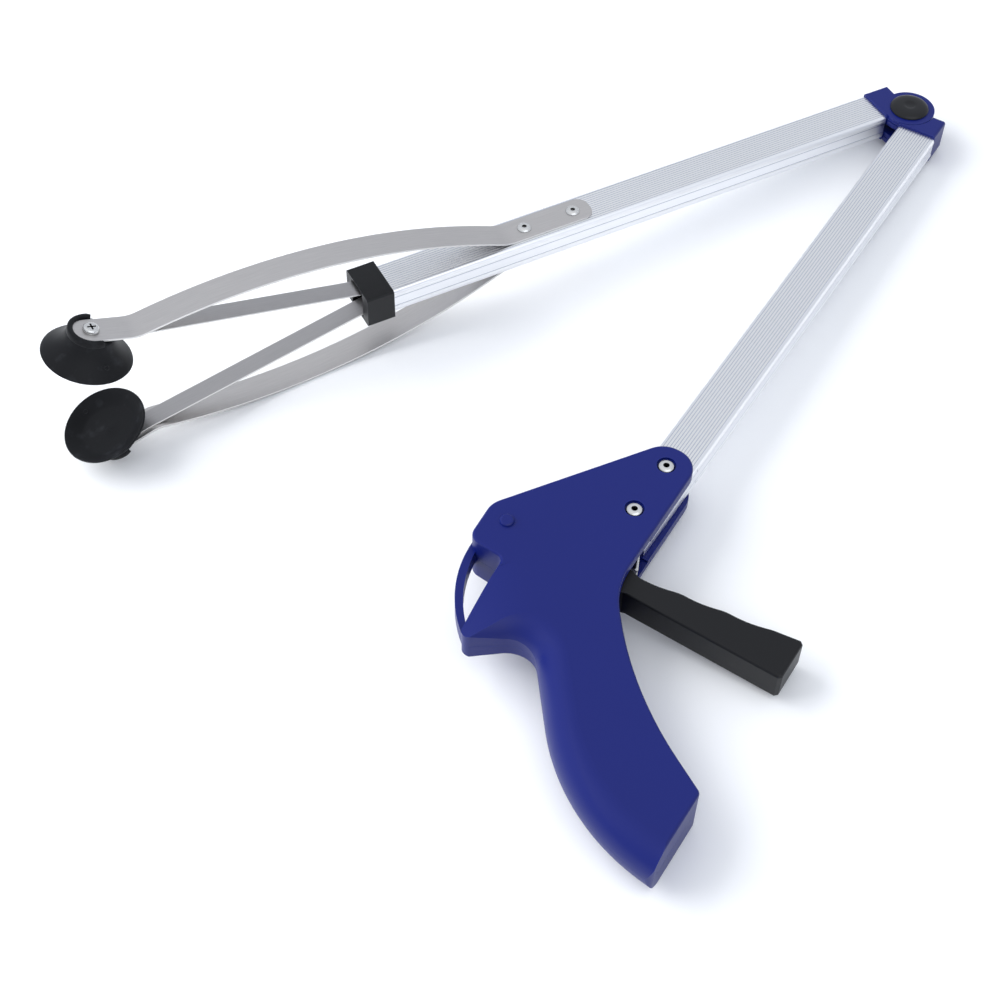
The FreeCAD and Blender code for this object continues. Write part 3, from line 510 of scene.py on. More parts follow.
@dataclass(frozen=True)
class CupRubber(Finish):
    """Moulded black rubber: matte, with a faint dusty bloom and tiny pits."""

    bloom: str = "5b5f66"
    dust_scale: float = 180.0    # to the metre
    pit: float = 0.6             # millimetres from one pit to the next
    pit_depth: float = 0.02

    def build(self) -> bpy.types.Material:
        """Make the material."""
        material, tree = self.start()
        place = object_place(tree)
        bloom = linear(self.bloom)
        sparse = remap(tree, noise(tree, place, self.dust_scale, 5.0), 0.55, 0.85, 0.0, 0.16)
        pits = noise(tree, place, 1 / (self.pit * MM), 2.0)
        dusted = mix(tree, sparse, linear(self.colour), bloom)
        rubbed = calc(tree, "MULTIPLY", self.edges(tree, 0.5, 0.05, 0.4), 0.25)
        self.end(tree, {"Base Color": mix(tree, rubbed, dusted, bloom), "Roughness": self.roughness,
                        "IOR": 1.3, "Normal": bump(tree, pits, self.pit_depth, 0.3)})
        return material


@dataclass(frozen=True)
class StudioPaper(Finish):
    """White background paper with a very faint tooth."""

    def build(self) -> bpy.types.Material:
        """Make the material."""
        material, tree = self.start()
        tooth = noise(tree, object_place(tree), 900.0, 2.0)
        self.end(tree, {"Base Color": linear(self.colour), "Roughness": self.roughness,
                        "Normal": bump(tree, tooth, 0.05, 0.1)})
        return material


# ---- the frame of the two arms -----------------------------------------------------------------
@dataclass
class Arms:
    """The two arms' coordinates: s along an arm from the fold axis, o outwards, z along the fold axis."""

    joints: Sequence[dict[str, Any]]
    offset: float = 9.3          # tube centreline from the fold axis
    origin: Vector = field(init=False)
    up: Vector = field(init=False)
    rear_along: Vector = field(init=False)
    front_along: Vector = field(init=False)

    def __post_init__(self) -> None:
        """Read the fold axis and both arms' directions from the joints."""
        by_name = {joint["name"]: joint for joint in self.joints}
        self.origin = Vector(by_name["fold"]["pos_m"])
        self.up = -Vector(by_name["fold"]["axis"]).normalized()
        self.rear_along = Vector(by_name["rear_wire_pull"]["axis"]).normalized()
        self.front_along = -Vector(by_name["front_wire_pull"]["axis"]).normalized()

    def rear(self, s: float, o: float, z: float) -> Vector:
        """A point of the rear arm, in metres."""
        side = self.up.cross(self.rear_along)
        return self.origin + (self.rear_along * s + side * (self.offset + o) + self.up * z) * MM

    def front(self, s: float, o: float, z: float) -> Vector:
        """A point of the front arm at rest, in metres."""
        side = self.front_along.cross(self.up)
        return self.origin + (self.front_along * s + side * (self.offset + o) + self.up * z) * MM

    def design(self, x: float, y: float, z: float) -> Vector:
        """A point given from the fold axis, with y against the rear arm."""
        side = self.up.cross(self.rear_along)
        return self.origin + (side * x - self.rear_along * y + self.up * z) * MM

    def own_axes(self, place: Placer) -> tuple[Triple, Triple]:
        """The turn and the shift that bring an arm's side, length and height onto X, Y and Z.

        Args:
            place: Puts s, o, z of the arm in the row frame.

        Returns:
            Euler angles in radians, and a shift in metres.
        """
        middle = place(0, 0, 0)
        axes = Matrix([(place(*step) - middle).normalized() for step in ((0, 1, 0), (1, 0, 0), (0, 0, 1))])
        if axes.determinant() < 0:
            axes[0] = -axes[0]
        return tuple(axes.to_euler()), tuple(-(axes @ middle))


# ---- meshes ------------------------------------------------------------------------------------
def mesh_object(
    name: str,
    points: Sequence[Vector],
    faces: Sequence[Sequence[int]],
    material: bpy.types.Material,
    uvs: Optional[Sequence[Pair]] = None,
    crease: float = 35.0,
) -> Piece:
    """Make a mesh object with its place in its mesh.

    Args:
        name: The object's name.
        points: The vertices in the row frame, in metres.
        faces: The vertex indices of each face.
        material: The only material.
        uvs: A UV place for each vertex.
        crease: Edges that turn more than this many degrees stay sharp.

    Returns:
        The linked object.
    """
    mesh = bpy.data.meshes.new(name)
    mesh.from_pydata([tuple(p) for p in points], [], [tuple(f) for f in faces])
    if uvs is not None:
        layer = mesh.uv_layers.new(name="UVMap")
        for loop in mesh.loops:
            layer.data[loop.index].uv = uvs[loop.vertex_index]
    shell = bmesh.new()
    shell.from_mesh(mesh)
    bmesh.ops.recalc_face_normals(shell, faces=shell.faces)
    shell.to_mesh(mesh)
    shell.free()
    mesh.shade_smooth()
    mesh.set_sharp_from_angle(angle=math.radians(crease))
    mesh.materials.append(material)
    obj = bpy.data.objects.new(name, mesh)
    bpy.context.scene.collection.objects.link(obj)
    return obj


def sweep_faces(count: int, rows: int) -> list[Sequence[int]]:
    """The faces of a closed section swept along a line, with both ends closed.

    Args:
        count: Points in the section.
        rows: Sections along the line.

    Returns:
        The vertex indices of each face.
    """
    last = count * rows - 1
    faces: list[Sequence[int]] = [tuple(range(count)), tuple(range(last, last - count, -1))]
    for row in range(rows - 1):
        for i in range(count):
            a, b = row * count + i, row * count + (i + 1) % count
            faces.append((a, b, b + count, a + count))
    return faces


def lathe(name: str, profile: Sequence[Pair], place: Placer, material: bpy.types.Material,
          steps: int = 96) -> Piece:
    """Turn a profile about an axis.

    Args:
        name: The object's name.
        profile: Radius and height of each point; the first and the last are on the axis.
        place: Puts a local x, y, height in the row frame.
        material: The only material.
        steps: Points round the axis.

    Returns:
        The linked object.
    """
    inner = profile[1:-1]
    points = [place(0.0, 0.0, profile[0][1])]
    for r, h in inner:
        for i in range(steps):
            angle = 2 * math.pi * i / steps
            points.append(place(r * math.cos(angle), r * math.sin(angle), h))
    points.append(place(0.0, 0.0, profile[-1][1]))
    last = len(points) - 1
    faces: list[Sequence[int]] = []
    for i in range(steps):
        following = (i + 1) % steps
        faces.append((0, 1 + i, 1 + following))
        for ring in range(len(inner) - 1):
            a = 1 + ring * steps
            faces.append((a + i, a + steps + i, a + steps + following, a + following))
        a = 1 + (len(inner) - 1) * steps
        faces.append((a + i, last, a + following))
    return mesh_object(name, points, faces, material)


@dataclass
class Station:
    """One place along a strip: where its middle line is, its slope, its half width and the way to it."""

    s: float
    z: float
    slope: float
    half: float
    way: float


class StripPath:
    """The middle line of a bent strip in the arm's side view."""

    def __init__(self, s: float, z: float, slope: float, width: float) -> None:
        """Start a line.

        Args:
            s: Where it starts along the arm.
            z: Where it starts over the arms' plane.
            slope: Its first slope in degrees.
            width: The strip's width.
        """
        self.width = width
        self.stations = [Station(s, z, slope, width / 2, 0.0)]

    def straight(self, length: float, steps: int = 1) -> "StripPath":
        """Go on straight.

        Args:
            length: The run's length.
            steps: How many stations it takes.

        Returns:
            The path itself.
        """
        for _ in range(steps):
            here = self.stations[-1]
            a = math.radians(here.slope)
            step = length / steps
            self.stations.append(Station(here.s + step * math.cos(a), here.z + step * math.sin(a), here.slope,
                                         self.width / 2, here.way + step))
        return self

    def curve(self, radius: float, slope: float, steps: int) -> "StripPath":
        """Go on along an arc until the line has the given slope.

        Args:
            radius: The arc's radius.
            slope: The slope at its end, in degrees.
            steps: How many stations it takes.

        Returns:
            The path itself.
        """
        start = self.stations[-1]
        sign = 1 if slope > start.slope else -1
        a = math.radians(start.slope)
        for i in range(1, steps + 1):
            angle = start.slope + (slope - start.slope) * i / steps
            b = math.radians(angle)
            self.stations.append(Station(
                start.s + sign * radius * (math.sin(b) - math.sin(a)),
                start.z + sign * radius * (math.cos(a) - math.cos(b)),
                angle, self.width / 2, start.way + radius * abs(b - a)))
        return self

    def round_end(self, radius: float, at_start: bool) -> None:
        """Narrow the stations near an end, so that its corners are round.

        Args:
            radius: The corners' radius.
            at_start: Whether it is the first end.
        """
        end = self.stations[0].way if at_start else self.stations[-1].way
        for station in self.stations:
            d = abs(station.way - end)
            if d < radius:
                station.half = self.width / 2 - radius + math.sqrt(radius ** 2 - (radius - d) ** 2)

    def end_stations(self, radius: float, steps: int = 8) -> "StripPath":
        """Go on straight with close stations for a rounded end.

        Args:
            radius: The corners' radius, and the run's length.
            steps: How many stations it takes.

        Returns:
            The path itself.
        """
        done = 0.0
        for i in range(1, steps + 1):
            reach = radius * math.sin(math.pi / 2 * i / steps)
            self.straight(reach - done)
            done = reach
        return self

    def mesh(
        self,
        name: str,
        thick: float,
        place: Placer,
        material: bpy.types.Material,
        edge: float = 0.16,
    ) -> Piece:
        """Sweep the strip's section along the line.

        Args:
            name: The object's name.
            thick: The strip's thickness.
            place: Puts s, o, z in the row frame.
            material: The only material.
            edge: The small rounding of the strip's edges.

        Returns:
            The linked object.
        """
        half = thick / 2
        corners = [(-1, half - edge, 0.0), (-1, half, edge), (1, half, edge), (1, half - edge, 0.0),
                   (1, edge - half, 0.0), (1, -half, edge), (-1, -half, edge), (-1, edge - half, 0.0)]
        points: list[Vector] = []
        uvs: list[Pair] = []
        for station in self.stations:
            a = math.radians(station.slope)
            for side, out, inset in corners:
                across = side * max(station.half - inset, 0.01)
                points.append(place(station.s - out * math.sin(a), across, station.z + out * math.cos(a)))
                uvs.append((across * MM, station.way * MM))
        return mesh_object(name, points, sweep_faces(len(corners), len(self.stations)), material, uvs, 40.0)


# ---- repeated pieces ---------------------------------------------------------------------------
@dataclass
class CopyRow:
    """A geometry-nodes tree that sets copies of one shape in a row."""

    tree: Tree = field(init=False)

    def __post_init__(self) -> None:
        """Build the tree."""
        tree = bpy.data.node_groups.new("copies_in_a_row", "GeometryNodeTree")
        for name, kind in (("Count", "NodeSocketInt"), ("Start", "NodeSocketVector"),
                           ("Step", "NodeSocketVector"), ("Shape", "NodeSocketObject"),
                           ("Material", "NodeSocketMaterial")):
            tree.interface.new_socket(name, in_out="INPUT", socket_type=kind)
        tree.interface.new_socket("Geometry", in_out="OUTPUT", socket_type="NodeSocketGeometry")
        given = add_node(tree, "NodeGroupInput")
        line = add_node(tree, "GeometryNodeMeshLine", {"mode": "OFFSET"}, {
            "Count": given.outputs["Count"], "Start Location": given.outputs["Start"],
            "Offset": given.outputs["Step"]})
        shape = add_node(tree, "GeometryNodeObjectInfo", {"transform_space": "ORIGINAL"},
                         {"Object": given.outputs["Shape"]})
        copies = add_node(tree, "GeometryNodeInstanceOnPoints", inputs={
            "Points": line.outputs["Mesh"], "Instance": shape.outputs["Geometry"]})
        real = add_node(tree, "GeometryNodeRealizeInstances", inputs={"Geometry": copies.outputs[0]})
        dressed = add_node(tree, "GeometryNodeSetMaterial", inputs={
            "Geometry": real.outputs[0], "Material": given.outputs["Material"]})
        add_node(tree, "NodeGroupOutput", inputs={"Geometry": dressed.outputs[0]})
        self.tree = tree

    def make(
        self,
        name: str,
        shape: Piece,
        count: int,
        start: Vector,
        step: Vector,
        material: bpy.types.Material,
        crease: float = 35.0,
    ) -> Piece:
        """Make a plain mesh of the copies and drop the shape that was copied.

        Args:
            name: The new object's name.
            shape: The shape, made round the origin.
            count: How many copies.
            start: Where the first one goes, in metres.
            step: From one copy to the next, in metres.
            material: The only material.
            crease: Edges that turn more than this many degrees stay sharp.

        Returns:
            The linked object.
        """
        host = bpy.data.objects.new(name, bpy.data.meshes.new(name + "_host"))
        bpy.context.scene.collection.objects.link(host)
        modifier = host.modifiers.new("row", "NODES")
        modifier.node_group = self.tree
        values = {"Count": count, "Start": tuple(start), "Step": tuple(step), "Shape": shape,
                  "Material": material}
        for item in self.tree.interface.items_tree:
            if item.in_out == "INPUT":
                modifier[item.identifier] = values[item.name]
        graph = bpy.context.evaluated_depsgraph_get()
        mesh = bpy.data.meshes.new_from_object(host.evaluated_get(graph), depsgraph=graph)
        host.modifiers.clear()
        host.data = mesh
        bpy.data.objects.remove(shape)
        mesh.shade_smooth()
        mesh.set_sharp_from_angle(angle=math.radians(crease))
        return host


# ---- the finishes of the tool ------------------------------------------------------------------
@dataclass
class Finishes:
    """Every finish of the tool, built once."""

    arms: Arms
    blue: bpy.types.Material = field(init=False)
    black: bpy.types.Material = field(init=False)
    cap: bpy.types.Material = field(init=False)
    rear_tube: bpy.types.Material = field(init=False)
    front_tube: bpy.types.Material = field(init=False)
    strip: bpy.types.Material = field(init=False)
    pull_strip: bpy.types.Material = field(init=False)
    rivet: bpy.types.Material = field(init=False)
    wire: bpy.types.Material = field(init=False)
    cable: bpy.types.Material = field(init=False)
    rubber: bpy.types.Material = field(init=False)

    def __post_init__(self) -> None:
        """Build the materials."""
        self.blue = MouldedPlastic("moulded_blue_abs", "081868", 0.38, "4a5cb0", edge_wear_and_highlight=0.35).build()
        self.black = MouldedPlastic("moulded_black_abs", "0d0e11", 0.42, "5c5f66", edge_wear_and_highlight=0.45).build()
        self.cap = MouldedPlastic("moulded_black_nylon", "141518", 0.3, "6d7076", edge_wear_and_highlight=0.3).build()
        tube = DrawnMetal("anodised_tube", "fafbfe", 0.32, contrast=0.08, flutes=FLUTES, pitch=FLUTE_PITCH,
                          edge_reach=0.7)
        turn, shift = self.arms.own_axes(self.arms.rear)
        self.rear_tube = replace(tube, name="anodised_rear_tube", rotation=turn, shift=shift).build()
        turn, shift = self.arms.own_axes(self.arms.front)
        self.front_tube = replace(tube, name="anodised_front_tube", rotation=turn, shift=shift).build()
        strip = DrawnMetal("rolled_outer_strip", "dbd8d6", 0.42, grain=Grain.LENGTH, line=0.4, run=14.0,
                           contrast=0.3, edge_colour="d8d7d5", half_width=6.5)
        self.strip = strip.build()
        # A darker copy of the outer strip's finish: painted shade for the darker reflection on the inner strips.
        self.pull_strip = replace(strip, name="rolled_inner_strip", colour="c2c0c0", half_width=4.5).build()
        self.rivet = DrawnMetal("bright_rivet_aluminium", "e6e6e4", 0.26, line=0.8, run=0.8,
                                recess_shade_reach=2.5).build()
        self.wire = DrawnMetal("drawn_steel_wire", "c9c9c8", 0.28, line=0.4, run=6.0).build()
        self.cable = DrawnMetal("stranded_steel_cable", "b4b5b6", 0.34, grain=Grain.LENGTH, line=0.7,
                                run=30.0, rotation=(0.0, 0.0, 0.6), depth=0.08, contrast=0.5).build()
        self.rubber = CupRubber("cup_rubber", "0d0e11", 0.5).build()


def dress(nodes: dict[str, Piece], names: Sequence[str], material: bpy.types.Material) -> None:
    """Give CAD nodes a finish.

    Args:
        nodes: The CAD nodes by name.
        names: Which of them.
        material: Their finish.
    """
    for name in names:
        slots = nodes[name].data.materials
        slots.clear()
        slots.append(material)


# ---- sub-assemblies ----------------------------------------------------------------------------
@dataclass
class FlutedTubes:
    """The two aluminium tubes with the fine flutes of their wide faces."""

    arms: Arms
    finishes: Finishes
    rows: CopyRow
    start: float = 12.6
    rear_end: float = 284.9
    front_end: float = 270.9
    half_height: float = 6.1
    rib_width: float = 0.86
    rib_height: float = 0.1
    sunk: float = 0.02           # how far a rib's foot lies below the face
    half_width: float = 9.0
    bead_at: float = 3.5         # beads of the narrow faces, from their middle
    bead_width: float = 1.9
    bead_height: float = 0.22
    rear_clear: float = 243.0    # the beads end before the handle and before the end cap
    front_clear: float = 264.6

    def rib(self, along: Vector, side: Vector, size: Triple, material: bpy.types.Material) -> Piece:
        """One long rib, made round the origin.

        Args:
            along: The arm's direction.
            side: The direction across the rib; it stands up on the right of side and along.
            size: The rib's length, width and height.
            material: The tube's finish.

        Returns:
            The rib.
        """
        length, width, height = size
        out = side.cross(along)
        angles = [math.pi * i / 6 for i in range(7)]
        section = [(width / 2 * math.cos(angle), height * math.sin(angle) - self.sunk) for angle in angles]
        points = [(side * a + out * b + along * s) * MM for s in (0.0, length) for a, b in section]
        return mesh_object("rib", points, sweep_faces(len(section), 2), material, crease=60.0)

    def build(self, nodes: dict[str, Piece]) -> None:
        """Dress the tubes and add the flutes to both wide faces.

        Args:
            nodes: The CAD nodes by name.
        """
        runs = (("rear", self.arms.rear, self.arms.rear_along, self.rear_end, self.rear_clear,
                 self.finishes.rear_tube, "handle"),
                ("front", self.arms.front, self.arms.front_along, self.front_end, self.front_clear,
                 self.finishes.front_tube, "front_arm"))
        for arm, place, along, end, clear, material, body in runs:
            dress(nodes, [arm + "_tube"], material)
            side = (place(0, 1, 0) - place(0, 0, 0)).normalized()
            first = -FLUTE_PITCH * (FLUTES - 1) / 2
            for face, sign in (("top", 1), ("bottom", -1)):
                across = along.cross(self.arms.up * sign)
                size = (end - self.start, self.rib_width, self.rib_height)
                flutes = self.rows.make(f"{arm}_tube_flutes_{face}", self.rib(along, across, size, material),
                                        FLUTES, place(self.start, first, sign * self.half_height),
                                        side * FLUTE_PITCH * MM, material, 60.0)
                across = along.cross(side * sign)
                size = (clear - self.start, self.bead_width, self.bead_height)
                beads = self.rows.make(f"{arm}_tube_beads_{face}", self.rib(along, across, size, material), 2,
                                       place(self.start, sign * self.half_width, -self.bead_at),
                                       self.arms.up * self.bead_at * 2 * MM, material, 60.0)
                for piece in (flutes, beads):
                    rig.ride(piece, body)
                    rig.slot(piece, "aluminium_tube")
                LOG.info("%s: %d ribs and 2 beads", flutes.name, FLUTES)


@dataclass
class Rivets:
    """Pop rivets: a domed flange, a stepped mandrel hole, and the formed tail on the other side."""

    arms: Arms
    finishes: Finishes
    rows: CopyRow
    handle_at: Pair = (253.0, 278.0)
    strip_at: Pair = (173.7, 197.7)
    handle_face: float = 10.1
    strip_face: float = 7.0

    def shape(self, head: float, shank: float, rise: float, length: float, tail: float, sign: int) -> Piece:
        """One rivet round the origin, with the underside of its head at zero.

        Args:
            head: The head's radius.
            shank: The shank's radius.
            rise: The head's height.
            length: How far the shank reaches below the head.
            tail: The formed tail's height.
            sign: 1 if the head is on the upper side.

        Returns:
            The rivet.
        """
        hole = shank * 0.58
        depth = min(length - 0.4, 7.0)
        profile = [(0.0, -depth), (hole * 0.5, -depth), (hole, -depth * 0.5), (hole, rise * 0.78),
                   (hole + 0.12, rise * 0.96), (hole + 0.35, rise), (head * 0.62, rise * 0.94),
                   (head * 0.84, rise * 0.68), (head * 0.97, rise * 0.32), (head, rise * 0.12),
                   (head, 0.02), (shank, 0.0), (shank, -length), (head * 0.74, -length),
                   (head * 0.75, -length - tail * 0.6), (head * 0.6, -length - tail), (0.0, -length - tail)]
        up = self.arms.up * sign
        side = self.arms.rear_along
        across = up.cross(side)
        return lathe("rivet", profile, lambda x, y, h: (side * x + across * y + up * h) * MM,
                     self.finishes.rivet, 48)

    def build(self) -> None:
        """Make the handle's and the strips' rivets."""
        first, second = self.handle_at
        shape = self.shape(3.35, 1.98, 1.1, 2 * self.handle_face, 1.1, 1)
        pair = self.rows.make("handle_pop_rivets", shape, 2, self.arms.rear(first, 0, self.handle_face),
                              self.arms.rear_along * (second - first) * MM, self.finishes.rivet)
        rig.ride(pair, "handle")
        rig.replaces(pair, "handle_rivets")
        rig.slot(pair, "rivet_metal")
        first, second = self.strip_at
        for jaw in Jaw:
            shape = self.shape(3.2, 1.58, 1.1, 2.0, 1.0, jaw.value)
            pair = self.rows.make(jaw.prefix + "strip_pop_rivets", shape, 2,
                                  self.arms.front(first, 0, jaw.value * self.strip_face),
                                  self.arms.front_along * (second - first) * MM, self.finishes.rivet)
            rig.ride(pair, "front_arm")
            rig.replaces(pair, jaw.prefix + "strip_rivets")
            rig.slot(pair, "rivet_metal")
            LOG.info("%s: 2 rivets", pair.name)


@dataclass
class JawStrips:
    """The outer spring-steel strips and the inner pull strips of both jaws."""

    arms: Arms
    finishes: Finishes
    width: float = 13.0
    thick: float = 0.9
    start: float = 165.4
    level: float = 6.55
    bend_at: float = 204.0
    bend_r: float = 20.0
    rise: float = 24.0
    rise_r: float = 270.0
    crown: float = 5.7
    crown_r: float = 280.0
    fall: float = -10.0
    flare_r: float = 14.0
    soft: float = 2.0            # what the soft bend takes of the arch and of the tab, each
    flare: float = 18.1
    tab: float = 22.8
    corner: float = 5.2
    joint_slope: float = 21.0    # the strip's two meshes meet where it has this slope
    pull_width: float = 9.0
    pull_thick: float = 0.7
    pull_rear: Pair = (260.0, 2.0)
    pull_tail: float = 4.0

    def placer(self, jaw: Jaw) -> Placer:
        """A function that puts s, o, z of the upper jaw on the given jaw."""
        return lambda s, o, z: self.arms.front(s, o, z * jaw.value)

    def root_path(self) -> StripPath:
        """The strip from its riveted end to the place where its two meshes meet."""
        flat = StripPath(self.start, self.level, 0.0, self.width)
        for i in range(1, 9):
            flat.straight(self.corner * (1 - math.cos(math.pi / 2 * i / 8)) - flat.stations[-1].way)
        flat.round_end(self.corner, True)
        flat.straight(self.bend_at - self.start - flat.stations[-1].way, 6)
        flat.curve(self.bend_r, self.rise, 14)
        flat.curve(self.rise_r, self.joint_slope, 6)
        return flat

    def tip_path(self, root: StripPath) -> StripPath:
        """The strip from the place where its two meshes meet to the end of its tab.

        Args:
            root: The first mesh's line.

        Returns:
            The second mesh's line.
        """
        last = root.stations[-1]
        path = StripPath(last.s, last.z, last.slope, self.width)
        path.stations[0].way = last.way
        path.curve(self.rise_r, self.crown, 40)
        path.curve(self.crown_r, self.fall + math.degrees(self.soft / self.crown_r), 36)
        path.curve(self.flare_r, self.flare, 10)
        path.straight(self.tab - self.soft - self.corner, 4)
        path.end_stations(self.corner)
        path.round_end(self.corner, False)
        return path

    def pull_path(self, tip: StripPath) -> StripPath:
        """The pull strip from its slotted end to its clamped end under the tab.

        Args:
            tip: The outer strip's second line.

        Returns:
            The pull strip's line.
        """
        tab_start = next(st for st in tip.stations if abs(st.slope - self.flare) < 1e-6)
        a = math.radians(self.flare)
        under = (self.thick + self.pull_thick) / 2
        clamp = (tab_start.s + under * math.sin(a), tab_start.z - under * math.cos(a))
        s0, z0 = self.pull_rear
        fall_slope = math.degrees(math.atan2(clamp[1] - 1.9 - z0, clamp[0] - 6.5 - s0))
        path = StripPath(s0 - self.pull_tail, z0, 0.0, self.pull_width)
        path.straight(self.pull_tail - 1.0, 2)
        path.curve(2.0 / math.radians(fall_slope), fall_slope, 3)
        here = path.stations[-1]
        slope = math.degrees(math.atan2(clamp[1] - here.z, clamp[0] - here.s))
        here.slope = slope
        reach = math.hypot(clamp[0] - here.s, clamp[1] - here.z)
        path.straight(reach - 5.0, 30)
        path.straight(3.0, 6)
        end = path.stations[-1]
        for i in range(1, 7):
            f = i / 6
            angle = slope + (self.flare - slope) * f
            path.stations.append(Station(end.s + (clamp[0] - end.s) * f, end.z + (clamp[1] - end.z) * f,
                                         angle, self.pull_width / 2, end.way + 2.0 * f))
        corner = self.corner * self.pull_width / self.width
        path.straight(self.tab - self.soft - corner, 4)
        path.end_stations(corner)
        path.round_end(corner, False)
        return path

    def build(self) -> None:
        """Make both jaws' strips and let them bend between their bodies."""
        root = self.root_path()
        tip = self.tip_path(root)
        pull = self.pull_path(tip)
        for jaw in Jaw:
            place = self.placer(jaw)
            first = root.mesh(jaw.prefix + "outer_strip_root", self.thick, place, self.finishes.strip)
            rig.blend(first, "front_arm", jaw.prefix + "mid", start=place(203.0, 0, 6.5),
                     end=place(221.0, 0, 12.0))
            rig.replaces(first, jaw.prefix + "strip_root")
            second = tip.mesh(jaw.prefix + "outer_strip_arch", self.thick, place, self.finishes.strip)
            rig.blend(second, jaw.prefix + "mid", jaw.prefix + "tip", start=place(236.0, 0, 26.6),
                     end=place(304.0, 0, 26.6))
            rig.replaces(second, jaw.prefix + "strip_mid", jaw.prefix + "strip_tip")
            inner = pull.mesh(jaw.prefix + "inner_strip", self.pull_thick, place, self.finishes.pull_strip)
            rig.blend(inner, jaw.prefix + "tip", jaw.prefix + "link", start=place(374.0, 0, 26.0),
                     end=place(362.0, 0, 24.0))
            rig.replaces(inner, jaw.prefix + "pull_strip", jaw.prefix + "pull_strip_end")
            for piece in (first, second, inner):
                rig.slot(piece, "spring_steel")
                LOG.info("%s: %d vertices", piece.name, len(piece.data.vertices))


@dataclass
class SuctionCups:
    """The two rubber cups with the collar that holds each on its tab."""

    arms: Arms
    finishes: Finishes
    tab_start: Pair = (374.36, 27.70)
    tab_slope: float = 18.1
    axis_along: float = 16.0
    seat: float = -1.15          # from the tab's middle surface to the cup's top
    radius: float = 18.1
    height: float = 11.25
    top_r: float = 9.3
    collar: float = 2.1
    collar_height: float = 2.55
    opening: float = 17.0        # the collar stops this many degrees past its ends

    def placer(self, jaw: Jaw) -> Placer:
        """A function that puts the cup's local x, y, height on the given jaw; y is towards the hinge."""
        a = math.radians(self.tab_slope)

        def place(x: float, y: float, h: float) -> Vector:
            """Put one local point in the row frame."""
            along = self.axis_along - y
            out = self.seat + h
            s = self.tab_start[0] + along * math.cos(a) - out * math.sin(a)
            z = self.tab_start[1] + along * math.sin(a) + out * math.cos(a)
            return self.arms.front(s, x, z * jaw.value)

        return place

    def profile(self) -> list[Pair]:
        """The cup's section from the middle of its top to the middle of its dish."""
        rim = -self.height
        return [(0.0, 0.0), (self.top_r - 0.5, 0.0), (self.top_r - 0.1, -0.12), (self.top_r + 0.1, -0.5),
                (self.top_r + 0.6, -1.8), (self.top_r + 1.5, -3.6), (self.top_r + 2.9, -5.5),
                (self.top_r + 4.8, -7.4), (self.top_r + 6.8, -9.0), (self.radius - 0.5, -10.1),
                (self.radius - 0.1, -10.5), (self.radius, -10.85), (self.radius - 0.15, rim + 0.1),
                (self.radius - 0.5, rim), (self.radius - 1.1, rim + 0.25), (self.radius - 2.4, rim + 1.1),
                (self.radius - 4.2, rim + 2.3), (12.6, rim + 3.05), (11.9, rim + 3.4), (11.4, rim + 3.6),
                (10.6, rim + 3.75), (6.0, rim + 3.98), (1.4, rim + 4.05), (1.1, rim + 3.95),
                (0.6, rim + 3.85), (0.0, rim + 3.85)]

    def gate_mark(self, name: str, place: Placer, radius: float, turn: float,
                  height: float, lean: float) -> Piece:
        """The small sunken mark that the mould's gate leaves on the rubber.

        Args:
            name: The object's name.
            place: Puts a local point in the row frame.
            radius: How far from the cup's axis it is.
            turn: Its angle about the cup's axis, in degrees.
            height: Its height on the cup.
            lean: How far the surface there leans out, in degrees; over 90 faces into the dish.

        Returns:
            The mark.
        """
        t, b = math.radians(turn), math.radians(lean)
        out = Vector((math.cos(t), math.sin(t), 0.0))
        normal = out * math.sin(b) + Vector((0.0, 0.0, math.cos(b)))
        first = Vector((-math.sin(t), math.cos(t), 0.0))
        second = normal.cross(first)
        centre = out * radius + Vector((0.0, 0.0, height))
        profile = [(0.0, -0.3), (0.5, -0.3), (0.62, -0.1), (0.75, 0.14), (0.9, 0.2), (1.1, 0.15),
                   (1.3, -0.05), (1.3, -0.5), (0.0, -0.5)]
        return lathe(name, profile, lambda x, y, h: place(*(centre + first * x + second * y + normal * h)),
                     self.finishes.rubber, 32)

    def collar_mesh(self, name: str, place: Placer) -> Piece:
        """The open ring that stands round the tab's end.

        Args:
            name: The object's name.
            place: Puts a local point in the row frame.

        Returns:
            The collar.
        """
        inner, outer, top = self.top_r - self.collar, self.top_r, self.collar_height
        section = [(inner, -0.1), (inner, top - 0.35), (inner + 0.35, top), (outer - 0.45, top),
                   (outer, top - 0.45), (outer, -0.1)]
        points: list[Vector] = []
        steps = 56
        start, end = math.radians(180 - self.opening), math.radians(360 + self.opening)
        for i in range(steps + 1):
            angle = start + (end - start) * i / steps
            taper = min(1.0, min(i, steps - i) / 3 * 0.12 + 0.88)
            for r, h in section:
                mid = (inner + outer) / 2
                radius = mid + (r - mid) * taper
                points.append(place(radius * math.cos(angle), radius * math.sin(angle), h * taper))
        faces = sweep_faces(len(section), steps + 1)
        return mesh_object(name, points, faces, self.finishes.rubber, crease=50.0)

    def build(self, nodes: dict[str, Piece]) -> None:
        """Make both cups and dress their screws.

        Args:
            nodes: The CAD nodes by name.
        """
        for jaw in Jaw:
            place = self.placer(jaw)
            cup = lathe(jaw.prefix + "suction_cup", self.profile(), place, self.finishes.rubber, 128)
            collar = self.collar_mesh(jaw.prefix + "cup_collar", place)
            outer_mark = self.gate_mark(jaw.prefix + "cup_outer_mark", place, 13.6, 168.0, -6.95, 48.0)
            dish_mark = self.gate_mark(jaw.prefix + "cup_dish_mark", place, 14.2, -20.0, -9.1, 208.0)
            for piece in (cup, collar, outer_mark, dish_mark):
                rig.ride(piece, jaw.prefix + "tip")
                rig.slot(piece, "cup_rubber")
            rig.replaces(cup, jaw.prefix + "cup")
            dress(nodes, [jaw.prefix + "cup_screw"], self.finishes.rivet)
            LOG.info("%s with its collar", cup.name)


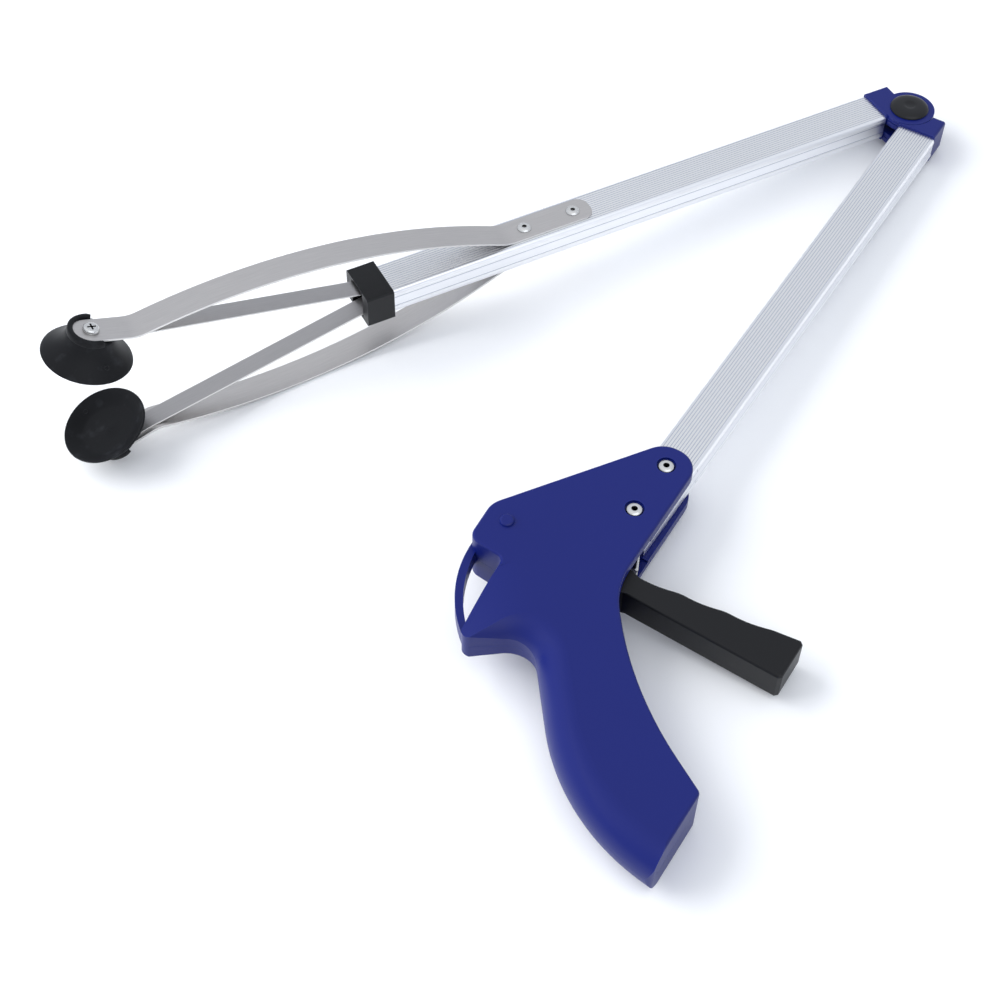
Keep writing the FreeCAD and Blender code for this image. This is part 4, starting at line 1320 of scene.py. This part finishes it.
@dataclass
class PivotCaps:
    """The two domed caps of the folding hinge, each with its stub shaft."""

    arms: Arms
    finishes: Finishes
    face: float = 7.475          # where a cap lies on its ear, from the arms' plane
    radius: float = 8.8
    rise: float = 1.9
    dish_r: float = 2.3
    stub_r: float = 3.98
    stub: float = 6.2

    def profile(self) -> list[Pair]:
        """A cap's section from the middle of its dish to the end of its stub."""
        rise, radius, dish = self.rise, self.radius, self.dish_r
        return [(0.0, rise - 0.42), (dish * 0.7, rise - 0.4), (dish * 0.95, rise - 0.2),
                (dish * 1.15, rise - 0.03), (dish * 1.5, rise), (radius * 0.55, rise - 0.06),
                (radius * 0.72, rise - 0.22),
                (radius * 0.86, rise - 0.55), (radius * 0.95, rise - 1.0), (radius * 0.99, rise - 1.4),
                (radius, rise - 1.65), (radius, 0.03), (radius - 0.1, 0.0), (self.stub_r, 0.0),
                (self.stub_r, -self.stub), (0.0, -self.stub)]

    def build(self) -> None:
        """Make both caps."""
        for name, side in (("upper", 1), ("lower", -1)):
            cap = lathe(f"{name}_hinge_cap", self.profile(),
                        lambda x, y, h, side=side: self.arms.design(x, y, side * (self.face + h)),
                        self.finishes.cap, 96)
            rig.ride(cap, "handle")
            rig.replaces(cap, f"pivot_cap_{name}")
            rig.slot(cap, "black_plastic")
            LOG.info("%s: radius %.1f mm", cap.name, self.radius)


@dataclass
class HingeCable:
    """The stranded cable through the hinge, which bends as the arms fold."""

    arms: Arms
    finishes: Finishes
    half_fold: float = 15.2
    rear_end: float = 30.0
    front_end: float = 17.2      # short of the front wire, which comes this near when the trigger is pulled
    straight_from: float = 12.5
    radius: float = 0.98
    slim_radius: float = 0.72    # in the front arm, where the ferrule slides over it
    sides: int = 16

    def build(self) -> None:
        """Make the cable and let it bend between the arms."""
        half = math.radians(self.half_fold)
        arc_r = self.arms.offset + self.straight_from * math.tan(half)
        line = [self.arms.rear(s, 0, 0) for s in (self.rear_end, (self.rear_end + self.straight_from) / 2)]
        for i in range(33):
            angle = (math.pi - 2 * half) * i / 32
            line.append(self.arms.design(arc_r * math.cos(angle) - self.straight_from * math.tan(half),
                                         arc_r * math.sin(angle) - self.straight_from, 0.0))
        middle = (self.front_end + self.straight_from) / 2
        line += [self.arms.front(s, 0, 0) for s in (middle, self.front_end)]
        points: list[Vector] = []
        uvs: list[Pair] = []
        way = 0.0
        for i, here in enumerate(line):
            ahead = line[min(i + 1, len(line) - 1)]
            behind = line[max(i - 1, 0)]
            way += (here - behind).length
            along = (ahead - behind).normalized()
            side = self.arms.up.cross(along).normalized()
            radius = self.slim_radius if i > len(line) - 3 else self.radius
            for k in range(self.sides):
                angle = 2 * math.pi * k / self.sides
                points.append(here + (side * math.cos(angle) + self.arms.up * math.sin(angle)) * radius * MM)
                uvs.append((k / self.sides * 0.006, way))
        faces = sweep_faces(self.sides, len(line))
        cable = mesh_object("hinge_cable", points, faces, self.finishes.cable, uvs, 60.0)
        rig.blend(cable, "handle", "front_arm", start=self.arms.rear(self.straight_from, 0, 0),
                 end=self.arms.front(self.straight_from, 0, 0))
        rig.replaces(cable, "fold_cable")
        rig.slot(cable, "steel_wire")
        LOG.info("%s: %d points", cable.name, len(line))


@dataclass
class Studio:
    """A white paper floor, soft lights and the camera."""

    arms: Arms
    eye: Triple = (174.36, -651.06, 524.75)
    target: Triple = (-39.63, -294.52, 0.0)
    roll: float = -1.32
    focal: float = 62.5846       # millimetres, for the sensor's width
    sensor: float = 36.0
    world_strength: float = 1.0
    sky: tuple[tuple[float, str], ...] = ((0.0, "c6cad2"), (0.5, "d8dce4"), (0.8, "e1e5ed"), (1.0, "f4f6fa"))

    def camera(self) -> None:
        """Place the camera by its eye, its target and its roll."""
        eye = self.arms.design(*self.eye)
        forward = (self.arms.design(*self.target) - eye).normalized()
        level = (self.arms.up - forward * self.arms.up.dot(forward)).normalized()
        roll = math.radians(self.roll)
        up = level * math.cos(roll) + forward.cross(level) * math.sin(roll)
        right = forward.cross(up)
        lens = bpy.data.cameras.new("studio_camera")
        lens.sensor_width = self.sensor
        lens.lens = self.focal
        lens.clip_start = 0.01
        lens.clip_end = 20.0
        camera = bpy.data.objects.new("studio_camera", lens)
        matrix = Matrix((right, up, -forward)).transposed().to_4x4()
        matrix.translation = eye
        camera.matrix_world = matrix
        bpy.context.scene.collection.objects.link(camera)
        bpy.context.scene.camera = camera

    def light(self, name: str, place: Triple, aim: Triple, size: float, power: float, colour: str,
              glossy: bool = True) -> None:
        """Add one soft light.

        Args:
            name: The light's name.
            place: Where it is, in metres.
            aim: What it points at, in metres.
            size: Its side, in metres.
            power: Its power, in watts.
            colour: Its colour.
            glossy: Whether metal mirrors it.
        """
        data = bpy.data.lights.new(name, "AREA")
        data.shape = "SQUARE"
        data.size = size
        data.energy = power
        data.color = linear(colour)[:3]
        lamp = bpy.data.objects.new(name, data)
        lamp.location = place
        lamp.rotation_euler = (Vector(aim) - Vector(place)).to_track_quat("-Z", "Y").to_euler()
        lamp.visible_glossy = glossy
        bpy.context.scene.collection.objects.link(lamp)

    def build(self) -> None:
        """Set the floor, the surroundings, the lights and the camera."""
        paper = StudioPaper("studio_paper", "f7f8f9", 0.9).build()
        side = 6.0
        corners = [Vector((x * side, y * side, -0.0002)) for x, y in ((-1, -1), (1, -1), (1, 1), (-1, 1))]
        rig.stage(mesh_object("studio_floor", corners, [(0, 1, 2, 3)], paper))
        world = bpy.data.worlds.new("studio_air")
        world.use_nodes = True
        tree = world.node_tree
        tree.nodes.clear()
        way = add_node(tree, "ShaderNodeTexCoord").outputs["Generated"]
        height = add_node(tree, "ShaderNodeSeparateXYZ", inputs={"Vector": way}).outputs["Z"]
        sky = add_node(tree, "ShaderNodeValToRGB", inputs={"Fac": height})
        elements = sky.color_ramp.elements
        while len(elements) < len(self.sky):
            elements.new(0.5)
        for element, (position, colour) in zip(elements, self.sky):
            element.position = position
            element.color = linear(colour)
        air = add_node(tree, "ShaderNodeBackground", inputs={"Color": sky.outputs["Color"],
                                                             "Strength": self.world_strength})
        add_node(tree, "ShaderNodeOutputWorld", inputs={"Surface": air.outputs[0]})
        bpy.context.scene.world = world
        bpy.context.scene.view_settings.view_transform = "Standard"
        self.light("key_softbox", (-1.45, -0.45, 0.9), (0.0, 0.0, 0.0), 2.0, 42.0, "ffffff", glossy=False)
        self.light("fill_softbox", (1.0, -0.5, 1.2), (0.0, -0.05, 0.0), 1.6, 6.0, "f4f8ff")
        self.camera()


def main() -> None:
    """Build the visual model and report each piece."""
    logging.basicConfig(level=logging.INFO, format="%(name)s: %(message)s")
    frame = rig.load()
    cad_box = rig.bounds()
    nodes = frame["nodes"]
    arms = Arms(frame["joints"])
    finishes = Finishes(arms)
    rows = CopyRow()
    dress(nodes, ["handle_upper_shell", "handle_lower_shell", "rear_knuckle", "front_knuckle"], finishes.blue)
    dress(nodes, ["trigger", "end_cap", "slider"], finishes.black)
    dress(nodes, ["trigger_pin", "trigger_spring", "pull_wire_rear", "pull_wire_front", "wire_eyelet",
                  "ferrule_rear", "ferrule_front", "slider_pin"], finishes.wire)
    FlutedTubes(arms, finishes, rows).build(nodes)
    Rivets(arms, finishes, rows).build()
    JawStrips(arms, finishes).build()
    SuctionCups(arms, finishes).build(nodes)
    PivotCaps(arms, finishes).build()
    HingeCable(arms, finishes).build()
    Studio(arms).build()
    sizes = {"cad": [list(corner) for corner in cad_box], "visual": [list(corner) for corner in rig.bounds()]}
    with open("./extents.json", "w", encoding="utf-8") as out:
        json.dump(sizes, out)


if __name__ == "__main__":
    main()
